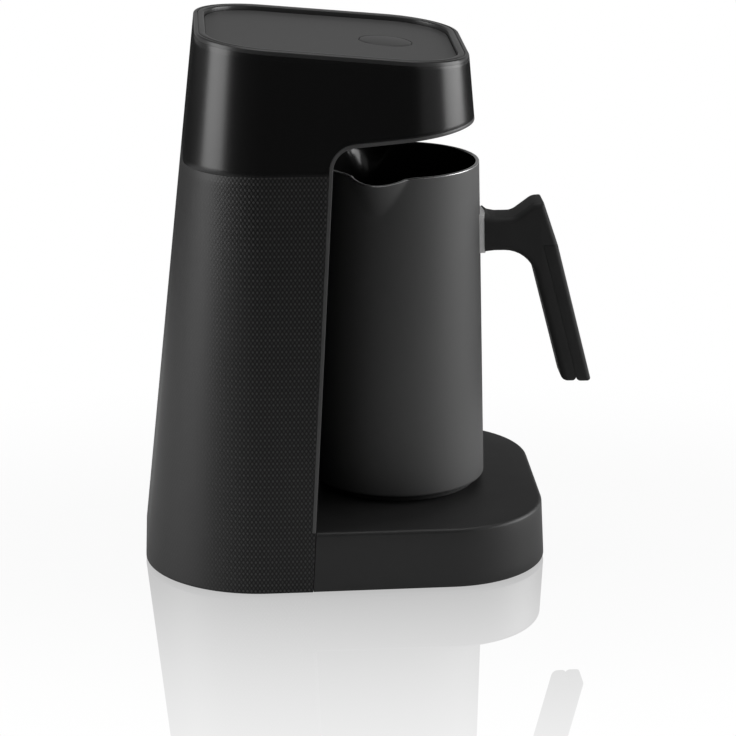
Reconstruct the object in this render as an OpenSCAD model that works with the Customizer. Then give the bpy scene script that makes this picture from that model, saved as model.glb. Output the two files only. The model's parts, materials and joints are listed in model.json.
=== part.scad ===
// Electric Turkish coffee maker: a housing with a base, a column and an overhanging head, a jug that lifts
// off a round cordless connector, and one round push button in the sloping top.
// Millimetres. Front is -Y, up is +Z. The origin is the middle of the footprint box, on the table.
// All pieces are drawn around the jug's upright axis and then moved by jug_y.

/* [Housing] */
// Height of the top edge above the jug's axis
top_h = 206.7; // [200:0.1:215]
// Slope of the top, falling towards the front, in degrees
top_tilt = 5.14; // [3:0.1:7]
// Width of the housing at the table
floor_w = 136.6; // [132:0.1:146]
// Width of the housing at the top
top_w = 97.2; // [92:0.1:102]
// Jug axis to the back of the housing, at the table
back_reach_floor = 103; // [98:0.5:112]
// Jug axis to the back of the housing, at the top
back_reach_top = 80.8; // [77:0.2:86]
// Radius of the back corners at the table
back_corner_floor = 46.7; // [42:0.1:50]
// Radius of the back corners at the top
back_corner_top = 28.4; // [25:0.1:32]
// Jug axis to the front of the head, at the top
head_reach = 25.4; // [20:0.2:32]
// Radius of the head's front corners, at the top
head_corner = 27.8; // [24:0.1:32]
// How far the head's front and sides lean out, per millimetre down
head_lean = 0.09; // [0.06:0.005:0.1]
// Wall of the outer shells
shell_wall = 2.4; // [1.8:0.1:3]
// Depth of the head above the bay, at the jug's axis
head_h = 30.8; // [26.7:0.1:32.7]
// How far the seam between the knurled shell and the smooth one lies below the top
seam_drop = 43.2; // [38.7:0.1:56.7]
// Depth of the tongue under the seam
tongue_h = 4; // [2:0.5:8]

/* [Base] */
// Height of the deck that the jug stands on
base_h = 24.8; // [22:0.1:30]
// Jug axis to the front of the base, at the table
base_reach = 57.2; // [54:0.2:66]
// Radius of the base's front corners, at the table
base_corner = 41.2; // [38:0.2:44]
// Width of the base in front
base_front_w = 132; // [128:0.5:136]
// How far the base's front leans in, per millimetre up
base_lean = 0.05; // [0:0.01:0.09]
// Height of the rubber feet below the housing's edge
foot_h = 1.2; // [0.8:0.1:3]
// Radius of a rubber foot
foot_r = 7; // [5:0.5:9]
// Thickness of the bottom cover
cover_t = 2.2; // [1.8:0.1:3]

/* [Bay] */
// Jug axis to the foot of the column's front edge
arch_foot = 36.6; // [35:0.2:40]
// How far the column's front edge leans forward, per millimetre up
arch_lean = 0.056; // [0.03:0.002:0.06]
// How far the underside falls, per millimetre back
roof_slope = 0.09; // [0.05:0.005:0.12]
// Radius of the corner between the column and the underside
arch_corner = 9; // [6:0.5:14]
// Width of the trim around the bay's edge
trim_w = 1.6; // [1:0.1:3]
// How far the bay panel is set in behind the trim's edge
panel_recess = 1.2; // [0.6:0.1:2.5]
// Thickness of the bay panel
panel_t = 2.2; // [1.8:0.1:2.6]
// Gap between a spout's lip and the niche that the jug stands in
niche_gap = 3.6; // [2.8:0.1:5.6]

/* [Top] */
// Width of the rim around the top
rim_w = 2.6; // [2:0.1:4]
// Height of the rim
rim_h = 1.8; // [1.2:0.1:3]
// How far the top panel lies below the rim
top_recess = 2; // [1:0.1:3]
// Thickness of the top panel
top_t = 2; // [1.6:0.1:2.6]
// Button centre behind the jug's axis, along the slope
button_y = 5; // [0:0.5:12]
// Radius of the button
button_r = 10.4; // [8:0.1:12]
// Thickness of the button's cap
button_t = 3; // [2:0.1:3.4]
// Travel of the button
button_travel = 1; // [0.6:0.1:1.4]
// Radius of the button's stem
stem_r = 2.6; // [2.2:0.1:3]
// Height of the button's spring
spring_h = 5; // [4:0.1:5.4]
// Radius of the button's spring
spring_r = 4.6; // [4:0.1:5.4]
// Wire of the button's spring
spring_wire = 0.6; // [0.4:0.1:0.8]
// Turns of the button's spring
spring_turns = 4; // [3:1:5]

/* [Jug] */
// Outer radius of the jug's rim
jug_rim_r = 32.1; // [30:0.1:33]
// Outer radius of the jug's foot
jug_foot_r = 35.2; // [34.6:0.1:36]
// Gap between the jug's rim and the head's underside
rim_gap = 18.5; // [16.9:0.1:25.9]
// Gap between the deck and the jug's lower edge
jug_gap = 3; // [2:0.1:4]
// Wall of the jug
jug_wall = 1.4; // [1:0.1:2]
// Thickness of the jug's floor
jug_floor_t = 1.6; // [1:0.1:2.5]
// Angle of the spouts from the handle
spout_angle = 110; // [90:1:120]
// Reach of a spout's lip from the jug's axis
spout_reach = 37.4; // [35:0.2:38.6]
// Radius of a spout's lip
spout_lip_r = 10.5; // [7:0.5:11]
// How far a spout runs down the wall
spout_drop = 27; // [15:1:40]
// How far a spout's lip dips below the rim
spout_dip = 2.3; // [0.5:0.1:4]
// How far the jug lifts, clear of its connector and under the head
jug_lift = 13; // [10:0.5:13.5]

/* [Handle] */
// Width of the handle
handle_w = 16; // [14:0.5:20]
// Rounding of the handle's edges
handle_round = 2.6; // [1.5:0.1:3.5]
// How far the arm's upper face lies below the jug's rim
arm_drop = 22.8; // [17.4:0.1:27.4]
// Height of the arm
arm_h = 13.7; // [12:0.1:20]
// How far the arm flares up where it meets the jug
arm_flare = 2.2; // [0.5:0.1:3]
// Rise of the thumb rest above the arm
thumb_rise = 6.4; // [3.5:0.1:9.5]
// Jug axis to the tip of the thumb rest
thumb_reach = 57.4; // [54:0.2:60]
// Jug axis to the knee in the grip's outer face
knee_reach = 63.5; // [62:0.1:66]
// How far that knee lies below the arm's upper face
knee_drop = 11.6; // [8.5:0.1:18.5]
// Jug axis to the grip's lower outer corner
grip_reach = 78.4; // [74:0.2:86]
// Length of the handle, from the arm's upper face down to the grip's lower end
grip_len = 68.9; // [56.5:0.1:80.5]
// Depth of the grip at the knee, front to back
grip_t = 12.1; // [11.5:0.1:16]
// Depth of the grip at its lower end
grip_low_t = 12; // [11:0.1:15]
// Depth of the outer cover of the grip
grip_cover_t = 6; // [5:0.1:7]
// Radius of the bend from the arm into the grip
grip_bend = 13; // [8:0.5:14]

/* [Connector] */
// Radius of the base connector
hub_r = 16; // [15:0.2:16.6]
// Height of the base connector above the deck
hub_h = 8.6; // [7:0.2:9]
// Radius of the connector's centre pin
pin_r = 1.8; // [1.4:0.1:2.2]
// Radius of the inner ring contact
ring_inner_r = 6.2; // [5.8:0.1:6.6]
// Radius of the outer ring contact
ring_outer_r = 11; // [10.4:0.1:11.6]
// Thickness of a ring contact
ring_t = 0.8; // [0.5:0.1:1]
// Clearance between the two halves of the connector
hub_gap = 0.5; // [0.3:0.05:0.8]
// Radius of the heating element's tube
element_r = 2.8; // [2.4:0.1:3.2]
// Radius of the ring that the heating element is bent to
element_ring_r = 19; // [18.4:0.1:20]
// Radius of the plate that spreads the heat
plate_r = 24.6; // [23.5:0.1:24.8]
// Thickness of that plate
plate_t = 2.6; // [2:0.1:4]

/* [Inside] */
// Radius of the mains cord's inlet
cord_r = 3.6; // [3:0.1:4]
// Height of the cord inlet's axis
cord_h = 13; // [12.6:0.2:14]
// Thickness of the circuit boards
board_t = 1.6; // [1:0.1:2]
// Width of the power board
board_w = 68; // [62:1:70]
// Height of the power board
board_h = 85; // [80:1:90]
// Width of the upright frame in the column
spine_w = 80; // [78:1:84]
// Gap between the upright frame and the level of the head's underside
spine_gap = 21.1; // [19.1:0.1:26.1]
// Clearance between fitted pieces
fit = 0.2; // [0.1:0.05:0.3]
// Radius of a small screw's shank
screw_r = 1.3; // [1:0.1:1.4]
// Radius of a small screw's head
screw_head_r = 2.5; // [2.2:0.1:2.7]
// Height of a small screw's head
screw_head_h = 1.6; // [1.2:0.1:1.8]

/* [Hidden] */
$fn = 64;
far = 400;          // longer than any piece
skin = 0.01;        // thickness of the slices that a leaning outline is stretched between
bite = 0.5;         // how far two shapes of one solid run into each other

function mix(a, b, t) = a + (b - a) * t;
function up(z) = z / top_h;
function back_r(z) = mix(back_corner_floor, back_corner_top, up(z));
function back_x(z) = mix(floor_w, top_w, up(z)) / 2 - back_r(z);
function back_y(z) = mix(back_reach_floor, back_reach_top, up(z)) - back_r(z);
function head_r(z) = head_corner + head_lean * (top_h - z);
function base_r(z) = base_corner - base_lean * z;

// ---- where things are, and shapes that several pieces share ----

roof_h = top_h - head_h;                        // the head's underside, at the jug's axis
seam_h = top_h - seam_drop;
jug_top = roof_h - rim_gap;
arm_top = jug_top - arm_drop;
thumb_h = arm_top + thumb_rise;
knee_h = arm_top - knee_drop;
grip_low = arm_top - grip_len;
spine_h = roof_h - spine_gap - base_h;
niche_r = spout_reach + niche_gap;
function back_edge(z) = mix(back_reach_floor, back_reach_top, up(z));
jug_y = (grip_reach - back_edge(foot_h)) / 2;

// Everything is drawn around the jug's axis, and moved so that the footprint is centred.
module placed() translate([0, jug_y, 0]) children();

module both_sides() {
    children();
    mirror([1, 0, 0]) children();
}

module ring(inner, outer, h) difference() {
    cylinder(r = outer, h = h);
    translate([0, 0, -1]) cylinder(r = inner, h = h + 2);
}

// The frame of the sloping top: its own Z = 0 is the rim's upper edge.
module on_top() translate([0, 0, top_h]) rotate([top_tilt, 0, 0]) children();

// The frame of the head's underside: its own Z = 0 is the trim's lower edge.
module on_roof() translate([0, 0, roof_h]) rotate([-atan(roof_slope), 0, 0]) children();

// Everything between two depths below the sloping top, positive upwards.
module top_slab(low, high) on_top() translate([-far, -far, low]) cube([2 * far, 2 * far, high - low]);

module level_slab(low, high) translate([-far, -far, low]) cube([2 * far, 2 * far, high - low]);

module back_circles(z, inset) both_sides() translate([back_x(z), back_y(z), z])
    cylinder(r = back_r(z) - inset, h = skin);

module head_circles(z, inset) both_sides()
    translate([top_w / 2 - head_corner, head_corner - head_reach, z])
    cylinder(r = head_r(z) - inset, h = skin);

module base_circles(z, inset) both_sides()
    translate([base_front_w / 2 - base_corner, base_corner - base_reach, z])
    cylinder(r = base_r(z) - inset, h = skin);

// The leaning outline of the column and head, from the table to above the top, set in by a distance.
module tower(inset) hull() {
    back_circles(0, inset);
    head_circles(0, inset);
    back_circles(top_h + 16, inset);
    head_circles(top_h + 16, inset);
}

// The leaning outline of the base between two heights, set in by a distance.
module base_block(inset, low, high) hull() {
    back_circles(low, inset);
    base_circles(low, inset);
    back_circles(high - skin, inset);
    base_circles(high - skin, inset);
}

// A pan-head screw: the underside of its head is at Z = 0, and its shank points down.
module screw(length) {
    difference() {
        cylinder(r = screw_head_r, h = screw_head_h);
        translate([0, 0, screw_head_h / 2]) cylinder(r = screw_head_r / 2, h = screw_head_h, $fn = 6);
    }
    translate([0, 0, -length]) cylinder(r = screw_r - fit / 4, h = length + skin);
}

// A round post with a blind screw hole in its free end, standing on Z = 0.
module post(height, r, depth) difference() {
    translate([0, 0, -bite]) cylinder(r = r, h = height + bite);
    translate([0, 0, height - depth]) cylinder(r = screw_r, h = depth + 1);
}

// Cuts each corner of a route twice, so that a lead bends softly.
function soften(p) = concat([p[0]],
    [for (i = [0 : len(p) - 2]) each [mix(p[i], p[i + 1], 0.25), mix(p[i], p[i + 1], 0.75)]],
    [p[len(p) - 1]]);

function unit(v) = v / norm(v);
wire_sides = 8;

// A round wire swept along a route that never runs along X.
module wire(route, r) {
    p = soften(soften(route));
    n = len(p) - 1;
    points = [for (i = [0 : n])
        let(along = unit(p[min(i + 1, n)] - p[max(i - 1, 0)]), side = unit(cross(along, [1, 0, 0])),
            across = cross(along, side))
        for (j = [0 : wire_sides - 1])
            p[i] + r * (cos(360 * j / wire_sides) * side + sin(360 * j / wire_sides) * across)];
    walls = [for (i = [0 : n - 1]) for (j = [0 : wire_sides - 1])
        let(k = (j + 1) % wire_sides, here = i * wire_sides, next = (i + 1) * wire_sides)
        each [[here + j, next + j, next + k], [here + j, next + k, here + k]]];
    polyhedron(points, concat([[for (j = [0 : wire_sides - 1]) j]], walls,
        [[for (j = [wire_sides - 1 : -1 : 0]) n * wire_sides + j]]));
}

// Which way a bent line runs into a point and out of it, and the mitre there, to its left.
function left_of(d) = [-d[1], d[0]];
function run_in(p, i) = unit(p[max(i, 1)] - p[max(i, 1) - 1]);
function run_out(p, i) = unit(p[min(i, len(p) - 2) + 1] - p[min(i, len(p) - 2)]);
function mitre(p, i) = let(m = unit(left_of(run_in(p, i)) + left_of(run_out(p, i))))
    m / (m * left_of(run_out(p, i)));

// A flat band through a list of points in the plane.
module band(points, t) {
    last = len(points) - 1;
    polygon(concat([for (i = [0 : last]) points[i] + mitre(points, i) * t / 2],
        [for (i = [last : -1 : 0]) points[i] - mitre(points, i) * t / 2]));
}

// ---- the bay between base, column and head, seen from the side ----

wall_len = sqrt(1 + arch_lean * arch_lean);
roof_len = sqrt(1 + roof_slope * roof_slope);
wall_n = [1, arch_lean] / wall_len;             // out of the bay, into the column
roof_n = [roof_slope, 1] / roof_len;            // out of the bay, into the head
wall_d = (arch_foot + arch_lean * base_h) / wall_len;
roof_d = roof_h / roof_len;
// centre of the rounded corner: arch_corner away from both lines
corner_det = wall_n[0] * roof_n[1] - wall_n[1] * roof_n[0];
corner_c = [((wall_d - arch_corner) * roof_n[1] - (roof_d - arch_corner) * wall_n[1]) / corner_det,
    ((roof_d - arch_corner) * wall_n[0] - (wall_d - arch_corner) * roof_n[0]) / corner_det];
corner_from = atan2(wall_n[1], wall_n[0]);
corner_to = atan2(roof_n[1], roof_n[0]);
corner_steps = 8;

function wall_y(z, grow = 0) = (wall_d + grow - wall_n[1] * z) / wall_n[0];
function roof_z(y, grow = 0) = (roof_d + grow - roof_n[0] * y) / roof_n[1];
function corner_point(a, grow) = corner_c + (arch_corner + grow) * [cos(a), sin(a)];
function bay_outline(grow) = concat(
    [[-far, -far], [wall_y(-far, grow), -far]],
    [for (i = [0 : corner_steps]) corner_point(mix(corner_from, corner_to, i / corner_steps), grow)],
    [[-far, roof_z(-far, grow)]]);

// An outline of Y and Z, drawn right across the housing.
module across(w) rotate([90, 0, 90]) translate([0, 0, -w / 2]) linear_extrude(w) children();

// The bay as a solid, grown into the column and the head.
module bay(grow) across(2 * far) polygon(bay_outline(grow));

// All that lies under the head's underside, grown upwards.
module under_roof(grow) across(2 * far)
    polygon([[-far, -far], [far, -far], [far, roof_z(far, grow)], [-far, roof_z(-far, grow)]]);

// ---- base ----

boss_r = 4;
cover_low = foot_h + 0.6;
cover_top = cover_low + cover_t;
deck_low = base_h - shell_wall;
head_sink = 1.1;                                // how far the bottom screws' heads sit in the cover
foot_pocket = 1;
foot_in = 25.2;                                 // from the base's front to the middle of a front foot
boss_places = [[40, -14], [50, 40], [26, back_reach_floor - 15]];
foot_places = [[36, foot_in - base_reach], [42, back_reach_floor - foot_in - 5.8]];
spine_y = niche_r + panel_t + 3.8;              // front of the upright frame, behind the niche
spine_t = 2.5;
spine_hole_x = 28;
lead_slot = [16, 8];
hub_flange_t = 2.6;
seal_t = 1;
seal_w = 2.2;
hub_screw_ring = hub_r + fit + seal_w + screw_head_r + 0.4;
hub_flange_r = hub_screw_ring + screw_head_r + 0.6;
hub_top = base_h + hub_h;
hub_low = deck_low - seal_t - hub_flange_t;
gland_r = cord_r + 2.4;
gland_end = back_edge(cord_h + gland_r) - fit;  // its outer end, flush with the back
gland_in = gland_end - 15;                      // its inner end
gland_flange_r = gland_r + 1.6;
gland_flange_t = 2;
gland_flange_y = back_edge(cord_h + gland_flange_r) - 2 * shell_wall - 2 * fit - gland_flange_t;
seat_y = gland_in - 6;                          // middle of the cord clamp's seat
seat_size = [24, 8];
lead_slot_y = seat_y - seat_size[1] / 2 - lead_slot[1] / 2 - 2.2;
spine_foot = lead_slot_y - 6 - spine_y;         // how far the frame's foot runs back
spine_hole_y = spine_y + 0.7 * spine_foot;
clamp_x = cord_r + screw_head_r + 2.2;
clamp_t = 3;
clamp_top = cord_h - cord_r - fit;

module at_bottom_screws() both_sides() for (p = boss_places) translate([p[0], p[1], 0]) children();
module at_feet() both_sides() for (p = foot_places) translate([p[0], p[1], 0]) children();
module at_spine_screws() both_sides() translate([spine_hole_x, spine_hole_y, 0]) children();
module at_hub_screws() for (a = [30, 150, 270]) rotate(a) translate([hub_screw_ring, 0, 0]) children();
module at_clamp_screws() both_sides() translate([clamp_x, seat_y, 0]) children();
module gland_hole() translate([0, gland_in, cord_h]) rotate([-90, 0, 0])
    cylinder(r = gland_r + fit, h = far);

module base_housing() color("#2a2a2a") placed() {
    difference() {
        union() {
            difference() {
                union() {
                    intersection() {
                        base_block(0, foot_h, base_h);
                        bay(-fit);
                    }
                    base_block(shell_wall + fit, foot_h, base_h);
                }
                intersection() {
                    base_block(shell_wall, foot_h - 1, deck_low);
                    bay(-fit - shell_wall);
                }
                base_block(2 * shell_wall + fit, foot_h - 1, deck_low);
            }
            at_bottom_screws() translate([0, 0, deck_low]) mirror([0, 0, 1])
                post(deck_low - cover_top - fit, boss_r, 12);
            at_spine_screws() translate([0, 0, deck_low - 8]) cylinder(r = boss_r, h = 8 + bite);
            at_hub_screws() translate([0, 0, deck_low - seal_t])
                cylinder(r = screw_head_r + 0.4, h = seal_t + bite);
            translate([-seat_size[0] / 2, seat_y - seat_size[1] / 2, cord_h + cord_r + fit])
                cube([seat_size[0], seat_size[1], deck_low + bite - cord_h - cord_r - fit]);
            at_clamp_screws() translate([0, 0, clamp_top]) cylinder(r = 3, h = deck_low - clamp_top);
        }
        translate([0, 0, deck_low - seal_t - 1]) cylinder(r = hub_r + fit, h = far);
        at_spine_screws() translate([0, 0, deck_low - 7]) cylinder(r = screw_r, h = far);
        at_hub_screws() translate([0, 0, 0]) cylinder(r = screw_r, h = base_h - 0.8);
        at_clamp_screws() cylinder(r = screw_r, h = deck_low);
        translate([-lead_slot[0] / 2, lead_slot_y - lead_slot[1] / 2, deck_low - 1])
            cube([lead_slot[0], lead_slot[1], shell_wall + 2]);
        gland_hole();
    }
}

module bottom_cover() color("#1f1f1f") placed() difference() {
    union() {
        intersection() {
            base_block(shell_wall + fit, cover_low, cover_top);
            bay(-2 * fit - shell_wall);
        }
        base_block(2 * shell_wall + 2 * fit, cover_low, cover_top);
    }
    at_bottom_screws() {
        translate([0, 0, -1]) cylinder(r = screw_r + fit, h = far);
        translate([0, 0, -1]) cylinder(r = screw_head_r + fit, h = cover_low + head_sink + 1);
    }
    at_feet() cylinder(r = foot_r + fit / 2, h = cover_low + foot_pocket);
}

module rubber_feet() color("#101010") placed() at_feet() {
    translate([0, 0, 0.4]) cylinder(r = foot_r, h = cover_low + foot_pocket - 0.4);
    cylinder(r1 = foot_r - 0.4, r2 = foot_r, h = 0.4 + skin);
}

module bottom_screws() color("silver") placed() at_bottom_screws()
    translate([0, 0, cover_low + head_sink]) rotate([180, 0, 0]) screw(11);

// ---- outer shells, trim and bay panel ----

lip = 1.6;                                      // thickness of the tongue and of the ledge

module lower_shell() color("#232323") placed() difference() {
    intersection() {
        tower(0);
        level_slab(foot_h, seam_h);
    }
    tower(shell_wall);
    bay(0);
    intersection() {
        bay(trim_w);
        level_slab(base_h, far);
    }
    gland_hole();
}

module upper_shell() color("#111111") placed() {
    difference() {
        union() {
            difference() {
                intersection() {
                    tower(0);
                    level_slab(seam_h, far + far);
                }
                tower(shell_wall);
            }
            difference() {
                union() {
                    intersection() {
                        tower(shell_wall / 2);
                        union() {
                            level_slab(seam_h, seam_h + 2);
                            top_slab(-top_recess - top_t - lip, -top_recess - top_t);
                        }
                    }
                    intersection() {
                        tower(shell_wall + fit);
                        level_slab(seam_h - tongue_h, seam_h + 1);
                    }
                }
                tower(shell_wall + fit + lip);
                bay(panel_recess + panel_t + fit);
            }
        }
        bay(trim_w);
        top_slab(-rim_h, far);
    }
}

module arch_trim() color("#4a4a4a") placed() difference() {
    intersection() {
        tower(0);
        bay(trim_w);
        level_slab(base_h, far);
    }
    tower(shell_wall);
    bay(0);
}

panel_screw_x = 34;
panel_screw_heights = [base_h + 24, base_h + spine_h - 18];
window_r = 6;
window_lip = 1.4;
niche_step = 0.4;                               // how far the niche stops below the roof of the bay
sensor_h = 8.6;                                 // top of the sensor housing above the head's underside
sensor_wall = 1.8;
ear_x = window_r + window_lip + sensor_wall + screw_head_r + 0.6;
ear_t = 2;
roof_in = panel_recess + panel_t;               // inside face of the bay panel's roof

module at_panel_screws() both_sides() for (z = panel_screw_heights)
    translate([panel_screw_x, spine_y, z]) rotate([-90, 0, 0]) children();

module bay_panel() color("#0c0c0c") placed() difference() {
    intersection() {
        tower(shell_wall + fit);
        level_slab(base_h, far);
        union() {
            bay(roof_in);
            intersection() {
                cylinder(r = niche_r + panel_t, h = far);
                under_roof(roof_in - niche_step);
            }
            at_panel_screws() translate([0, 0, -25]) cylinder(r = 3.6, h = 25);
        }
    }
    bay(panel_recess);
    intersection() {
        cylinder(r = niche_r, h = far);
        under_roof(panel_recess - niche_step);
    }
    at_panel_screws() translate([0, 0, -8]) cylinder(r = screw_r, h = 9);
    on_roof() translate([0, 0, panel_recess - 1]) cylinder(r = window_r + fit, h = panel_t + 2);
    on_roof() both_sides() translate([ear_x, 0, roof_in - 1.8]) cylinder(r = screw_r, h = 5);
}

// ---- top, button and what is under them ----

guide_in = button_r + 0.25;
guide_out = guide_in + 1.8;
panel_low = -top_recess - top_t;
cap_low = -top_recess - button_t;
guide_floor = cap_low - spring_h;
guide_t = 1.5;
clip_t = 0.8;
clip_top = guide_floor - guide_t - fit;
stem_end = clip_top - clip_t - 0.9;
switch_plunger = 0.9;
switch_h = 2.2;
switch_w = 6;
board_top = stem_end - button_travel - 0.1 - switch_plunger - switch_h;
board_low = board_top - board_t;
control_w = 60;
control_y = [-11, 48];
board_screw_x = 26;
board_screw_y = [-6, 43];

module at_button() on_top() translate([0, button_y, 0]) children();
module at_board_screws() on_top() both_sides() for (y = board_screw_y)
    translate([board_screw_x, y, 0]) children();

module top_rim() color("#3c3c3c") placed() difference() {
    intersection() {
        tower(0);
        top_slab(-rim_h, 0);
    }
    tower(rim_w);
}

module top_panel() color("#4b4b4b") placed() difference() {
    union() {
        intersection() {
            tower(rim_w + fit);
            top_slab(panel_low, -top_recess);
        }
        at_board_screws() translate([0, 0, panel_low]) mirror([0, 0, 1]) post(panel_low - board_top, 3.2, 8);
    }
    at_button() translate([0, 0, panel_low - 1]) cylinder(r = guide_in, h = top_t + 2);
}

module button_guide() color("#303030") placed() at_button() difference() {
    translate([0, 0, guide_floor - guide_t]) cylinder(r = guide_out, h = panel_low - guide_floor + guide_t);
    translate([0, 0, guide_floor]) cylinder(r = guide_in, h = far);
    translate([0, 0, guide_floor - guide_t - 1]) cylinder(r = stem_r + 0.3, h = far);
}

module power_button() color("#474747") placed() at_button() difference() {
    union() {
        translate([0, 0, cap_low]) cylinder(r = button_r, h = button_t);
        translate([0, 0, stem_end]) cylinder(r = stem_r, h = cap_low - stem_end + bite);
    }
    translate([0, 0, clip_top - clip_t - 0.05]) ring(stem_r - 0.6, stem_r + 1, clip_t + 0.1);
}

module button_clip() color("silver") placed() at_button() translate([0, 0, clip_top - clip_t])
    ring(stem_r - 0.55, stem_r + 1.6, clip_t);

// A coil spring: rings of points along a helix, joined into one closed surface.
coil_sides = 6;
coil_steps = 16;
coil_rise = spring_h - spring_wire - 2 * fit;

function coil_point(i, j) = let(
    turn = 360 * i / coil_steps,
    a = 360 * j / coil_sides,
    r = spring_r + spring_wire / 2 * cos(a))
    [r * cos(turn), r * sin(turn),
        coil_rise * i / (coil_steps * spring_turns) + spring_wire / 2 * sin(a)];

module coil() {
    n = coil_steps * spring_turns;
    points = [for (i = [0 : n]) for (j = [0 : coil_sides - 1]) coil_point(i, j)];
    side_faces = [for (i = [0 : n - 1]) for (j = [0 : coil_sides - 1])
        let(k = (j + 1) % coil_sides, here = i * coil_sides, next = (i + 1) * coil_sides)
        each [[here + j, next + k, next + j], [here + j, here + k, next + k]]];
    start_face = [for (j = [coil_sides - 1 : -1 : 0]) j];
    end_face = [for (j = [0 : coil_sides - 1]) n * coil_sides + j];
    polyhedron(points, concat([start_face], side_faces, [end_face]));
}

module button_spring() color("silver") placed() at_button()
    translate([0, 0, guide_floor + fit + spring_wire / 2]) coil();

module control_board() color("#1d5a35") placed() difference() {
    on_top() translate([-control_w / 2, control_y[0], board_low])
        cube([control_w, control_y[1] - control_y[0], board_t]);
    at_board_screws() translate([0, 0, board_low - 1]) cylinder(r = screw_r + fit, h = board_t + 2);
}

chip_places = [[-20, 18], [-20, 34], [18, 12]];
chip_sizes = [[10, 10, 1.2], [8, 5, 1.2], [5, 4, 1.2]];
buzzer_r = 6;
buzzer_h = 5;

module board_chips() color("#181818") placed() on_top() for (i = [0 : 2])
    translate([chip_places[i][0], chip_places[i][1], board_top]) cube(chip_sizes[i]);

module board_screws() color("silver") placed() at_board_screws()
    translate([0, 0, board_low]) rotate([180, 0, 0]) screw(6);

module tact_switch() color("#303030") placed() at_button() translate([0, 0, board_top]) {
    translate([-switch_w / 2, -switch_w / 2, 0]) cube([switch_w, switch_w, switch_h]);
    translate([0, 0, switch_h - bite]) cylinder(r = 1.75, h = switch_plunger + bite);
}

module buzzer() color("#202020") placed() on_top() translate([14, 28, board_top]) difference() {
    cylinder(r = buzzer_r, h = buzzer_h);
    translate([0, 0, buzzer_h - 1]) cylinder(r = 1, h = 2);
}

module sensor_window() color([0.15, 0.1, 0.12, 0.8]) placed() on_roof() {
    translate([0, 0, panel_recess]) cylinder(r = window_r, h = panel_t + bite);
    translate([0, 0, roof_in]) cylinder(r = window_r + window_lip, h = 1);
}

module sensor_housing() color("#2c2c2c") placed() on_roof() difference() {
    union() {
        translate([0, 0, roof_in]) cylinder(r = window_r + window_lip + sensor_wall, h = sensor_h - roof_in);
        both_sides() translate([0, -4, roof_in]) cube([ear_x, 8, ear_t]);
        both_sides() translate([ear_x, 0, roof_in]) cylinder(r = 4, h = ear_t);
    }
    translate([0, 0, roof_in - 1]) cylinder(r = window_r + window_lip + fit, h = far);
    both_sides() translate([ear_x, 0, roof_in - 1]) cylinder(r = screw_r + fit, h = ear_t + 2);
}

module foam_sensor() color("#1d5a35") placed() on_roof() {
    translate([0, 0, sensor_h - 1.2]) cylinder(r = window_r + window_lip, h = 1.2);
    both_sides() translate([2.8, 0, roof_in + 1.2]) cylinder(r = 2, h = sensor_h - roof_in - 2.4 + bite);
}

module sensor_screws() color("silver") placed() on_roof() both_sides()
    translate([ear_x, 0, roof_in + ear_t]) screw(ear_t + 1.5);

// ---- upright frame, boards and leads in the column ----

standoff_h = 6;
standoff_x = board_w / 2 - 5;
power_low = panel_screw_heights[0];
standoff_heights = [power_low + 5, power_low + board_h - 5];
power_front = spine_y + spine_t + standoff_h;
power_back = power_front + board_t;
board_edge = 4;                                 // from the power board's edge to what stands on it
winding_low = 36;                               // heights on the power board, from its lower edge
capacitor_low = 42;
relay_high = 13.5;                              // from the board's upper edge down to the relay
capacitor_gap = 4;
ribbon_hold = 14;                               // how far the flat cable runs down the board
block_low = power_low + 3;
block_y = power_back + 6;
lead_r = 1.1;
lead_floor = cover_top + 8;
pin_low = hub_low - 3;

module at_standoffs() both_sides() for (z = standoff_heights)
    translate([standoff_x, spine_y + spine_t, z]) rotate([-90, 0, 0]) children();

module spine_frame() color("#3a3a3a") placed() difference() {
    union() {
        translate([-spine_w / 2, spine_y, base_h]) cube([spine_w, spine_t, spine_h]);
        translate([-spine_w / 2, spine_y, base_h]) cube([spine_w, spine_foot, spine_t]);
        both_sides() translate([spine_w / 2 - spine_t, spine_y, base_h]) cube([spine_t, 10, spine_h]);
        at_standoffs() post(standoff_h, 3.2, 6);
    }
    at_spine_screws() translate([0, 0, base_h - 1]) cylinder(r = screw_r + fit, h = spine_t + 2);
    at_panel_screws() translate([0, 0, -1]) cylinder(r = screw_r + fit, h = spine_t + 2);
}

module spine_screws() color("silver") placed() at_spine_screws()
    translate([0, 0, base_h + spine_t]) screw(9);

module panel_screws() color("silver") placed() at_panel_screws() translate([0, 0, spine_t]) screw(9);

module power_board() color("#1d5a35") placed() difference() {
    translate([-board_w / 2, power_front, power_low]) cube([board_w, board_t, board_h]);
    at_standoffs() cylinder(r = screw_r + fit, h = standoff_h + board_t + 1);
}

module power_board_screws() color("silver") placed() at_standoffs()
    translate([0, 0, standoff_h + board_t]) screw(7);

relay_size = [19, 15, 15.5];
winding_size = [27, 18, 25];
core_size = [19, 6, 31];
capacitor_r = 5;
capacitor_h = 14;
block_size = [22, 12, 10];

module relay() color("#1c3f7a") placed()
    translate([board_edge - board_w / 2, power_back, power_low + board_h - relay_size[2] - relay_high])
    cube(relay_size);

module transformer() color("#7a5a2a") placed()
    translate([board_w / 2 - board_edge - winding_size[0], power_back, power_low + winding_low]) {
    cube(winding_size);
    translate([(winding_size[0] - core_size[0]) / 2, winding_size[1] - bite,
        (winding_size[2] - core_size[2]) / 2]) cube(core_size);
}

module capacitors() color("#30343a") placed() for (i = [0, 1])
    translate([board_edge - board_w / 2 + capacitor_r + 3 + (2 * capacitor_r + capacitor_gap) * i,
        power_back, power_low + capacitor_low])
    rotate([-90, 0, 0]) cylinder(r = capacitor_r, h = capacitor_h);

module terminal_block() color("#2f7a4a") placed()
    translate([-block_size[0] / 2, power_back, block_low]) cube(block_size);

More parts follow.
